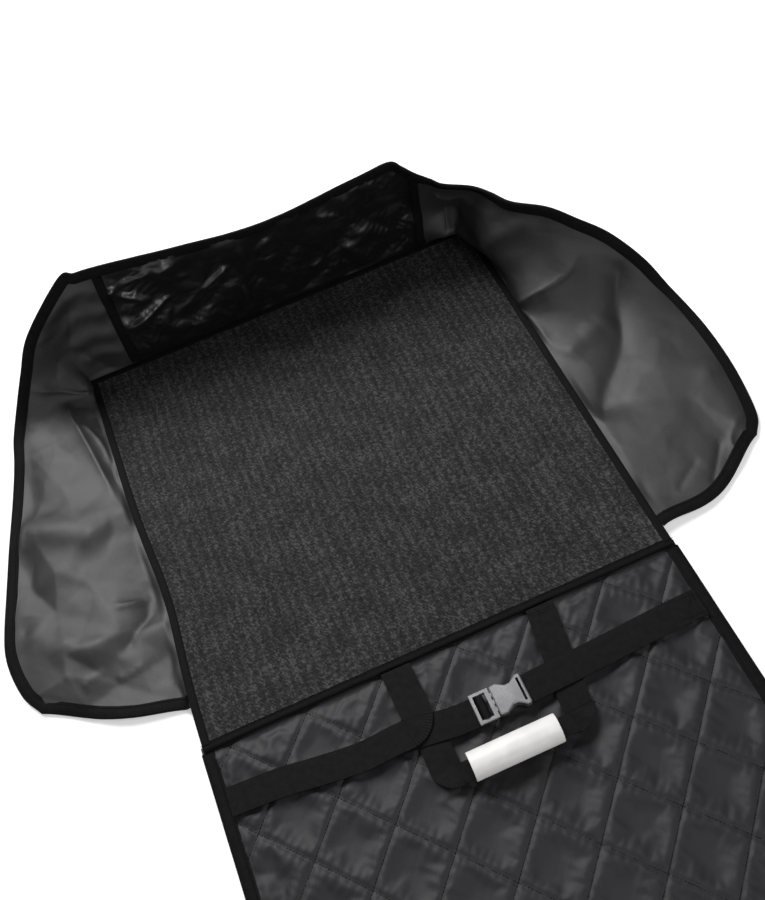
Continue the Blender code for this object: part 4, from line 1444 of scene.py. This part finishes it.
@dataclass
class SkirtPanels:
    """The flaps, the front panel and the tapes that bind them."""

    finishes: Finishes
    thread: Stitches
    skirt: Skirt
    cloth: float = 0.0008
    hem_half: float = 0.0021
    hem_end_columns: int = 6
    # Usual width of cloth from the seam to the hem
    cloth_out: float = 0.17
    # Least and greatest depth of the front panel's inner side over the cloth's middle
    depths: tuple = (0.0004, 0.009)
    # Flat edge of the front panel, where its seams press it
    pressed: float = 0.011
    tape_width: float = 0.012
    tape_thickness: float = 0.0012
    tape_crown: float = 0.0005
    tape_height: float = 0.0024
    pattern: QuiltPattern = field(default_factory=lambda: QuiltPattern(
        node=(0.0, 0.0), loft=0.0016, pucker=0.0009, seed=6.3))

    def build(self) -> None:
        """Make every piece of the skirt."""
        last = (len(self.skirt.ribs) - 1) // self.skirt.steps
        self.flap(Side.LEFT, 0, self.skirt.left_end)
        self.flap(Side.RIGHT, self.skirt.right_start, last)
        self.front_panel()
        self.hem()
        self.corner_tape(Side.LEFT, self.skirt.left_end)
        self.corner_tape(Side.RIGHT, self.skirt.right_start)

    def flap(self, side: Side, first: int, last: int) -> None:
        """Make one coated-cloth flap.

        Args:
            side: Side of the seat that it lies on.
            first: Its first drape row.
            last: Its last drape row.
        """
        grid, uv = self.skirt.part(first, last)
        name = "flap_" + side.name.lower()
        offset = grid_normals(grid) * self.cloth / 2
        mesh = shell_mesh(name, grid + offset, grid - offset, uv)
        piece = finished(name, mesh, self.finishes.coated, CLOTH_ANGLE)
        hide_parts("side_flap_" + side.name.lower())
        area = float(np.sum(np.linalg.norm(np.cross(
            np.diff(grid, axis=0)[:, :-1], np.diff(grid, axis=1)[:-1]), axis=-1)))
        LOG.info("%s: cloth area %.4f", name, area)

    def front_panel(self) -> None:
        """Make the quilted panel that stands along the front seam."""
        grid, uv = self.skirt.part(self.skirt.left_end, self.skirt.right_start)
        normals = grid_normals(grid)
        middle = uv[..., 0].mean()
        x, y = uv[..., 0] - middle, uv[..., 1]
        edge = np.minimum(np.minimum(uv[..., 0] - uv[0, 0, 0], uv[-1, 0, 0] - uv[..., 0]),
                          np.minimum(y, y.max() - y))
        squeeze = smooth_step((edge - self.pressed) / 0.016)
        rise = self.pattern.height(x, y) * squeeze
        held = np.maximum(self.pattern.distance(x, y) < SEWN_HALF, edge < 0.013).astype(float)
        face = (self.cloth + rise)[..., None] * normals
        inner = grid + face
        inner = ClothSettings(growth=0.012, frames=12).relax(inner, held)
        depth = np.sum((inner - grid) * normals, -1, keepdims=True)
        inner += normals * (np.clip(depth, *self.depths) - depth)
        mesh = shell_mesh("front_quilt", inner, grid - face, uv)
        # Its finish is the quilt cloth darkened as painted shade of the standing panel
        piece = finished("front_quilt", mesh, self.finishes.shaded_quilt_front, CLOTH_ANGLE)
        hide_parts("front_panel")

    def hem(self) -> None:
        """Make the tape folded over the whole hem."""
        skirt = self.skirt
        grid = skirt.grid
        near = skirt.shares - max(1, round(BINDING_WIDTH / self.cloth_out * skirt.shares))
        inner_row = self.hem_end_columns
        lines = [(grid[0, 1:-1], grid[inner_row, 1:-1]),
                 (grid[:, -1], grid[:, near]),
                 (grid[-1, -2:0:-1], grid[-1 - inner_row, -2:0:-1])]
        edge = np.vstack([line[0] for line in lines])
        inner = np.vstack([line[1] for line in lines])
        into = inner - edge
        tangent = np.gradient(edge, axis=0)
        tangent /= np.linalg.norm(tangent, axis=1, keepdims=True)
        into -= tangent * np.sum(into * tangent, axis=1, keepdims=True)
        for _ in range(6):
            into[1:-1] = (into[:-2] + 2 * into[1:-1] + into[2:]) / 4
        into /= np.linalg.norm(into, axis=1, keepdims=True)
        normal = np.cross(tangent, into)
        normal /= np.linalg.norm(normal, axis=1, keepdims=True)
        half, width = self.hem_half, BINDING_WIDTH
        outline = [(width, -half * 0.85), (width * 0.55, -half), (0.0006, -half),
                   (-0.0006, -half * 0.6), (-0.0009, 0.0), (-0.0006, half * 0.6),
                   (0.0006, half), (width * 0.55, half), (width, half * 0.85)]
        sections = np.stack([edge + into * a + normal * b for a, b in outline], 1)
        mesh = swept_mesh("hem_binding", sections)
        piece = finished("hem_binding", mesh, self.finishes.tape, TAPE_ANGLE)
        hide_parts("skirt_binding")
        in_line = edge + into * (width - 0.0026)
        self.thread.sew("hem_stitches", [in_line + normal * (half + 0.0001),
                                         in_line - normal * (half + 0.0001)],
                        self.finishes.thread, "binding_tape")

    def corner_tape(self, side: Side, row: int) -> None:
        """Make the tape over a seam between the front panel and a flap.

        Args:
            side: Side of the seat.
            row: Drape row of the seam.
        """
        skirt = self.skirt
        index = row * skirt.steps
        cut = slice(3, skirt.shares - 5)
        line = skirt.grid[index, cut]
        across = skirt.grid[index + 3, cut] - skirt.grid[index - 3, cut]
        tangent = np.gradient(line, axis=0)
        normal = np.cross(across, tangent)
        normal /= np.linalg.norm(normal, axis=1, keepdims=True)
        line = line + normal * self.tape_height
        name = "corner_binding_" + side.name.lower()
        mesh = swept_mesh(name, strap_sections(line, self.tape_width, self.tape_thickness,
                                               self.tape_crown, across))
        piece = finished(name, mesh, self.finishes.tape)
        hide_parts("corner_tape_" + side.name.lower())
        across /= np.linalg.norm(across, axis=1, keepdims=True)
        rows = [line + across * shift + normal * 0.0005 for shift in (-0.0040, 0.0040)]
        self.thread.sew("corner_stitches_" + side.name.lower(), rows, self.finishes.thread,
                        "binding_tape")


@dataclass
class BackBinding:
    """Tape folded over the sides and far end of the back panel."""

    finishes: Finishes
    thread: Stitches

    def build(self) -> None:
        """Make the tape."""
        half = BACK_WIDTH / 2 - 0.0012
        end = BACK_END_Y + 0.0012
        start = CROSS_Y - 0.0085
        side = np.linspace(start, end, 110)[:-1]
        far = np.linspace(-half, half, 110)
        corners = [np.stack([np.full_like(side, -half), side], -1),
                   np.stack([far, np.full_like(far, end)], -1),
                   np.stack([np.full_like(side, half), side[::-1]], -1)]
        edge = np.vstack(corners)
        middle = PAD_THICKNESS / 2
        wave = noise_field(np.hstack([edge, 0 * edge[:, :1]]), 16.0, 9.0)
        edge = np.hstack([edge, np.full((len(edge), 1), middle)])
        inner = edge.copy()
        inner[:, 0] = np.clip(edge[:, 0], -half + BINDING_WIDTH, half - BINDING_WIDTH)
        inner[:, 1] = np.maximum(edge[:, 1], end + BINDING_WIDTH)
        into = inner - edge
        up = np.array([0, 0, 1.0])
        profile = [(1.0, -0.0018), (0.5, -0.0024), (0.05, -0.0022), (-0.06, -0.0010),
                   (-0.07, 0.0), (-0.06, 0.0010), (0.05, 0.0022), (0.5, 0.0024), (1.0, 0.0018)]
        sections = np.stack([edge + into * a + up * (b + 0.0003 * wave[:, None] * (b > 0))
                             for a, b in profile], 1)
        mesh = swept_mesh("back_edge_binding", sections)
        piece = finished("back_edge_binding", mesh, self.finishes.tape, TAPE_ANGLE)
        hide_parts("back_binding")
        row = edge + into * 0.80 + up * 0.0024
        self.thread.sew("back_edge_stitches", [row[2:-2]], self.finishes.thread, "binding_tape")


@dataclass
class Straps:
    """Webbing straps, the anchor tube and the buckles."""

    finishes: Finishes
    thread: Stitches
    crown: float = 0.0002

    def strap(self, name: str, sections: Array, replaced: tuple) -> None:
        """Make a piece of webbing through its cross-sections.

        Args:
            name: Piece's name.
            sections: Rings of points.
            replaced: CAD nodes that it stands for.
        """
        mesh = swept_mesh(name, sections)
        piece = finished(name, mesh, self.finishes.webbing)
        if replaced:
            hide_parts(*replaced)

    def webbing(self, name: str, route: list, replaced: tuple = ()) -> None:
        """Make flat webbing whose upper face's middle follows a route.

        Args:
            name: Piece's name.
            route: Points of its middle, on its upper face.
            replaced: CAD nodes that it stands for.
        """
        line = catmull_rom(np.array(route, float), 10)
        sections = strap_sections(line, WEBBING_WIDTH, WEBBING_THICKNESS, self.crown)
        self.strap(name, sections, replaced)

    def build(self) -> None:
        """Make every strap and dress the buckles and the tube."""
        top = STRAP_TOP
        self.webbing("cross_webbing_right",
                     [(0.049, CROSS_STRAP_Y, top + 0.0022), (0.062, -0.3482, top + 0.0045),
                      (0.085, -0.3470, top + 0.0040), (0.120, -0.3455, top + 0.0030),
                      (0.160, -0.3430, top + 0.0015), (0.210, -0.3400, top + 0.001),
                      (0.256, -0.3380, top)],
                     ("cross_strap_right",))
        self.webbing("cross_webbing_short",
                     [(0.0125, CROSS_STRAP_Y, top + 0.0018), (0.004, CROSS_STRAP_Y, top + 0.0020),
                      (-0.020, -0.3480, top + 0.0022), (-0.050, -0.3440, top + 0.0018),
                      (-0.078, -0.3410, top + 0.0008)])
        bar = [(0.0042, 0.0138), (0.0050, 0.0175), (0.0068, 0.0198), (0.0090, 0.0203),
               (0.0112, 0.0198), (0.0128, 0.0175), (0.0134, 0.0138)]
        route = np.array([(x, CROSS_STRAP_Y, z) for x, z in bar])
        half_loop = (0, 0.0125, 0)
        self.ribbon("cross_webbing_loop", route + half_loop, route - half_loop)
        self.left_corner(top + 0.0034)
        y = HEADREST_STRAP_Y
        for side in Side:
            start = HEADREST_BUCKLE_X + side.value * 0.024
            self.webbing("headrest_webbing_" + side.name.lower(),
                         [(start, y, top + 0.0005), (start + side.value * 0.03, y, top),
                          (side.value * 0.15, y - 0.001, top), (side.value * 0.256, y, top)],
                         ("headrest_strap_" + side.name.lower(),))
        self.anchor(top)
        self.tube()
        self.sew_ends(top + 0.0006)
        for name in ("cross_buckle", "headrest_buckle"):
            for part in ("_socket", "_plug"):
                self.dress(name + part, self.finishes.buckle)

    def sew_ends(self, level: float) -> None:
        """Sew two rows over each anchor leg, and a crossed box at each strap's end.

        Args:
            level: Height of the webbing's upper face.
        """
        rows = []
        for x in (-0.0553, 0.1080):
            for y in (-0.2770, -0.2805):
                rows.append([(x + share * 0.0125, y, level) for share in (-1, -0.3, 0.4, 1)])
        for x, y in ((-0.2430, -0.3290), (0.2430, -0.3387), (-0.2430, -0.7265), (0.2430, -0.7265)):
            rows.append([(x + a * 0.009, y + b * 0.011, level) for a, b in
                         ((-1, -1), (1, -1), (1, 1), (-1, 1), (-1, -1), (1, 1))])
        self.thread.sew("webbing_stitches", rows, self.finishes.thread, "webbing")

    def ribbon(self, name: str, left: Array, right: Array, replaced: tuple = ()) -> None:
        """Make webbing whose upper face runs between two rows of edge points.

        Args:
            name: Piece's name.
            left: Edge points on one side.
            right: Edge points on the other side.
            replaced: CAD nodes that it stands for.
        """
        finer = [catmull_rom(np.asarray(row, float), 8) for row in (left, right)]
        line, across = (finer[0] + finer[1]) / 2, finer[1] - finer[0]
        width = np.linalg.norm(across, axis=1)[:, None]
        self.strap(name, strap_sections(line, width, WEBBING_THICKNESS, self.crown, across),
                   replaced)

    @staticmethod
    def fan(pivot: tuple, start: float, end: float, radii: tuple, levels: tuple) -> tuple:
        """Rows of edge points of webbing that turns flat about a point.

        Args:
            pivot: Point that it turns about, seen from above.
            start: Angle of the first row, in degrees.
            end: Angle of the last row, in degrees.
            radii: Inner edge's radius, outer edge's first radius and last radius.
            levels: First and last height.

        Returns:
            Inner and outer edge points.
        """
        share = np.linspace(0, 1, 7)
        angle = np.radians(start + (end - start) * share)
        level = levels[0] + (levels[1] - levels[0]) * share
        outer = radii[1] + (radii[2] - radii[1]) * share
        edges = []
        for radius in (np.full_like(share, radii[0]), outer):
            edges.append(np.stack([pivot[0] + radius * np.cos(angle),
                                   pivot[1] + radius * np.sin(angle), level], -1))
        return tuple(edges)

    def left_corner(self, level: float) -> None:
        """Make the webbing that comes from the cross seam and turns into the left strap.

        Args:
            level: Height of the turn.
        """
        low = STRAP_TOP
        inner, outer = self.fan((-0.0715, -0.3240), 0, -90, (0.002, 0.034, 0.0325),
                                (level, level))
        leg_in = [(-0.0715, -0.271, low), (-0.0705, -0.300, low + 0.001)]
        leg_out = [(-0.0390, -0.271, low), (-0.0380, -0.300, low + 0.001)]
        run = np.array([(-0.090, 0.0022), (-0.120, 0.0010), (-0.160, 0.0004), (-0.205, 0.0004),
                        (-0.257, 0.0)])
        drift = np.array([-0.3262, -0.3270, -0.3225, -0.3165, -0.3135])
        run_in = np.column_stack([run[:, 0], drift, low + run[:, 1]])
        run_out = run_in - (0, 0.0300, 0)
        self.ribbon("cross_webbing_left", np.vstack([leg_in, inner, run_in]),
                    np.vstack([leg_out, outer, run_out]), ("cross_strap_left",))

    def anchor(self, top: float) -> None:
        """Make the anchor webbing's legs, which turn into the tube.

        Args:
            top: Height of the webbing's upper face on the quilt.
        """
        inside = 0.0195
        half = 0.0102
        tube_x, tube_y, _ = TUBE_CENTRE
        for side, seam, turn in ((Side.LEFT, -0.051, -0.049), (Side.RIGHT, 0.108, 0.095)):
            s = side.value
            pivot = (turn - s * 0.0175, tube_y + half + 0.002)
            sweep = (180, 270) if side is Side.LEFT else (0, -90)
            inner, outer = self.fan(pivot, *sweep, (0.002, 0.033, 2 * half + 0.002),
                                    (top, inside))
            start_y = -0.330 if side is Side.LEFT else -0.271
            leg_in = [(seam - s * 0.0155, start_y, top - 0.0006), (turn - s * 0.0155, -0.372, top)]
            leg_out = [(seam + s * 0.0155, start_y, top - 0.0006), (turn + s * 0.0155, -0.372, top)]
            end_in = [(tube_x, tube_y + half, inside)]
            end_out = [(tube_x, tube_y - half, inside)]
            self.ribbon("anchor_webbing_" + side.name.lower(),
                        np.vstack([leg_in, inner, end_in]), np.vstack([leg_out, outer, end_out]),
                        ("anchor_strap",) if side is Side.RIGHT else ())

    def tube(self) -> None:
        """Make the tube, with rounded rims."""
        radius, wall, length, rim = 0.0145, 0.0022, 0.093, 0.0007
        middle_x, middle_y, middle_z = TUBE_CENTRE
        turn = np.linspace(0, math.pi / 2, 5)
        outer = [(length / 2 - rim + rim * math.sin(a), radius - rim + rim * math.cos(a))
                 for a in turn]
        inner = [(length / 2 - rim + rim * math.cos(a), radius - wall + rim - rim * math.sin(a))
                 for a in turn]
        half = outer + inner
        profile = [(-x, r) for x, r in half[::-1]] + half
        angle = np.linspace(0, 2 * math.pi, 73)[:-1]
        sections = np.array([[(middle_x + x, middle_y + r * math.cos(a),
                               middle_z + r * math.sin(a)) for x, r in profile] for a in angle])
        mesh = swept_mesh("tube", sections, closed=True)
        piece = finished("tube", mesh, self.finishes.tube)
        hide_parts("anchor_tube")

    def dress(self, node: str, material: bpy.types.Material) -> None:
        """Give a CAD node its finish.

        Args:
            node: Node's name.
            material: Its finish.
        """
        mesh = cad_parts[node].data
        mesh.materials.clear()
        mesh.materials.append(material)


@dataclass(frozen=True)
class SoftLight:
    """A square area light that faces the middle of the cover."""

    name: str
    place: tuple
    size: float
    power: float

    def hang(self) -> None:
        """Add the light to the scene."""
        data = bpy.data.lights.new(self.name, "AREA")
        data.shape = "SQUARE"
        data.size = self.size
        data.energy = self.power
        light = bpy.data.objects.new(self.name, data)
        light.location = self.place
        direction = -Vector(self.place)
        light.rotation_euler = direction.to_track_quat("-Z", "Y").to_euler()
        bpy.context.scene.collection.objects.link(light)


@dataclass
class Studio:
    """Floor, lights and camera."""

    lens: float = 43.79
    pitch: float = 55.53
    yaw: float = 8.17
    roll: float = -16.33
    position: tuple = (-0.0696, -0.7289, 1.0622)
    surround: float = 0.10
    floor_tone: float = 0.85
    floor_glow: float = 0.42
    floor_half: float = 12.0
    lamps: tuple = (SoftLight("key", (-0.50, 1.80, 2.4), 1.7, 101.0),
                    SoftLight("fill", (0.9, -1.2, 2.3), 1.2, 14.0),
                    SoftLight("low", (0.1, -2.2, 0.42), 0.5, 9.0))

    def camera(self) -> None:
        """Place the camera at the photograph's angle."""
        pitch, yaw, roll = (math.radians(a) for a in (self.pitch, self.yaw, self.roll))
        forward = Vector((math.sin(yaw) * math.cos(pitch), math.cos(yaw) * math.cos(pitch),
                          -math.sin(pitch)))
        level = Vector((math.cos(yaw), -math.sin(yaw), 0))
        upright = level.cross(forward)
        right = level * math.cos(roll) + upright * math.sin(roll)
        up = upright * math.cos(roll) - level * math.sin(roll)
        data = bpy.data.cameras.new("camera")
        data.lens = self.lens
        data.clip_start, data.clip_end = 0.01, 50
        camera = bpy.data.objects.new("camera", data)
        matrix = Matrix((right, up, -forward)).transposed().to_4x4()
        matrix.translation = self.position
        camera.matrix_world = matrix
        bpy.context.scene.collection.objects.link(camera)
        bpy.context.scene.camera = camera

    def floor(self) -> None:
        """Lay a white floor that keeps the cover's shadow."""
        mesh = bpy.data.meshes.new("floor")
        size = self.floor_half
        mesh.from_pydata([(-size, -size, 0), (size, -size, 0), (size, size, 0), (-size, size, 0)],
                         [], [(0, 1, 2, 3)])
        floor = bpy.data.objects.new("floor", mesh)
        bpy.context.scene.collection.objects.link(floor)
        shader = Shader("floor_white")
        shader.principled.inputs["Base Color"].default_value = (*(self.floor_tone,) * 3, 1)
        shader.principled.inputs["Roughness"].default_value = 0.9
        shader.principled.inputs["Specular IOR Level"].default_value = 0.0
        path = shader.node("ShaderNodeLightPath")
        glow = shader.node("ShaderNodeEmission")
        glow.inputs["Color"].default_value = (1, 1, 1, 1)
        seen = shader.math("ADD", path.outputs["Is Camera Ray"], path.outputs["Is Glossy Ray"],
                           clamp=True)
        shader.join(shader.math("MULTIPLY", seen, self.floor_glow), glow.inputs["Strength"])
        added = shader.node("ShaderNodeAddShader")
        shader.join(shader.principled.outputs[0], added.inputs[0])
        shader.join(glow.outputs[0], added.inputs[1])
        output = shader.tree.nodes["Material Output"]
        shader.join(added.outputs[0], output.inputs["Surface"])
        mesh.materials.append(shader.material)

    def lights(self) -> None:
        """Set a soft overhead key from the far left, and a pale surround."""
        world = bpy.data.worlds.new("studio")
        bpy.context.scene.world = world
        world.use_nodes = True
        tree = world.node_tree
        background = tree.nodes["Background"]
        background.inputs["Color"].default_value = (1, 1, 1, 1)
        path = tree.nodes.new("ShaderNodeLightPath")
        strength = tree.nodes.new("ShaderNodeMapRange")
        strength.inputs["To Min"].default_value = self.surround
        strength.inputs["To Max"].default_value = 1.0
        tree.links.new(path.outputs["Is Camera Ray"], strength.inputs["Value"])
        tree.links.new(strength.outputs["Result"], background.inputs["Strength"])
        for lamp in self.lamps:
            lamp.hang()

    def build(self) -> None:
        """Set the whole stage."""
        self.floor()
        self.lights()
        self.camera()
        bpy.context.scene.view_settings.view_transform = "Standard"


# Folds of the left flap, the far right corner and the right flap, then of the front panel,
# then of the left flap's end: width, height and path
SKIRT_FOLDS = (
    crease(0.012, 0.006, (8.75, 0.03), (8.70, 0.35), (8.75, 0.62), (8.60, 0.95)),
    crease(0.018, 0.008, (8.4, 0.50), (7.2, 0.38), (6.2, 0.28), (4.9, 0.16), (4.0, 0.06)),
    crease(0.006, 0.003, (6.4, 0.23), (5.4, 0.08), (4.7, 0.03)),
    ridge(0.022, 0.009, (4.35, 0.95), (4.0, 0.57), (3.6, 0.18)),
    crease(0.020, -0.009, (1.3, 0.34), (1.7, 0.20), (2.0, 0.10), (2.6, 0.03)),
    crease(0.006, 0.004, (2.35, 0.05), (2.25, 0.16), (2.30, 0.30)),
    ridge(0.020, 0.005, (2.55, 0.87), (2.05, 0.72), (1.6, 0.53), (1.4, 0.32)),
    crease(0.006, 0.003, (1.9, 0.02), (1.2, 0.03), (0.3, 0.04)),
    crease(0.008, 0.002, (0.8, 0.63), (1.0, 0.52), (1.1, 0.43)),
    crease(0.008, 0.002, (0.9, 0.40), (0.9, 0.33), (1.1, 0.18)),
    crease(0.008, 0.006, (23.1, 0.75), (24.2, 0.70), (25.7, 0.77)),
    crease(0.008, -0.006, (23.8, 0.47), (24.3, 0.30), (24.8, 0.15)),
    crease(0.020, 0.010, (30.1, 0.80), (30.4, 0.55), (30.3, 0.28), (30.0, 0.03)),
    crease(0.006, 0.004, (30.2, 0.03), (31.3, 0.03), (32.3, 0.03)),
    crease(0.034, -0.013, (30.7, 0.93), (31.5, 0.72), (33.0, 0.45), (33.9, 0.17), (34.5, 0.04)),
    ridge(0.012, 0.004, (32.8, 0.05), (32.5, 0.28), (32.2, 0.55)),
    ridge(0.022, 0.004, (34.2, 0.85), (36.4, 0.83)),
    crease(0.007, 0.003, (35.7, 0.93), (36.2, 0.75), (36.8, 0.78)),
    crease(0.007, -0.003, (36.0, 0.70), (36.8, 0.47)),
    crease(0.007, -0.002, (36.1, 0.48), (36.5, 0.22)),
    ridge(0.012, 0.005, (26.9, 0.28), (27.6, 0.67), (28.1, 0.92)),
    crease(0.013, 0.009, (16.0, 0.88), (16.05, 0.65), (15.9, 0.43), (15.85, 0.04)),
    crease(0.008, 0.004, (15.7, 0.50), (15.55, 0.27), (15.4, 0.04)),
    crease(0.008, 0.005, (14.6, 0.35), (15.2, 0.52), (15.8, 0.65)),
    crease(0.008, 0.004, (13.5, 0.78), (14.1, 0.82), (14.9, 0.86)),
    crease(0.008, 0.004, (14.4, 0.85), (14.6, 0.75), (14.9, 0.66)),
    crease(0.010, 0.005, (13.2, 0.80), (13.4, 0.70), (14.2, 0.55)),
    crease(0.009, 0.005, (13.2, 0.36), (13.9, 0.43), (14.5, 0.54)),
    crease(0.009, 0.004, (13.2, 0.50), (13.25, 0.25), (13.3, 0.08)),
    crease(0.009, 0.004, (17.6, 0.85), (18.6, 0.60)),
    crease(0.009, 0.004, (18.0, 0.37), (18.6, 0.08)),
    ridge(0.010, 0.0026, (10.2, 0.88), (11.4, 0.84), (12.9, 0.74)),
    ridge(0.011, 0.0032, (10.2, 0.66), (11.4, 0.62), (12.9, 0.55)),
    ridge(0.010, 0.0030, (10.2, 0.46), (11.4, 0.40), (12.9, 0.34)),
    ridge(0.009, 0.0026, (10.2, 0.24), (11.4, 0.22), (12.9, 0.16)),
)


def main() -> None:
    """Build the cover piece by piece and set the studio."""
    logging.basicConfig(level=logging.INFO, format="%(name)s %(message)s")
    finishes = Finishes()
    thread = Stitches(spacing=0.0036, length=0.0026, radius=0.00035)
    SeatPanel(finishes, thread).build()
    BackPanel(finishes, thread).build()
    skirt = Skirt(folds=SKIRT_FOLDS)
    SkirtPanels(finishes, thread, skirt).build()
    BackBinding(finishes, thread).build()
    Straps(finishes, thread).build()
    Studio().build()


if __name__ == "__main__":
    main()
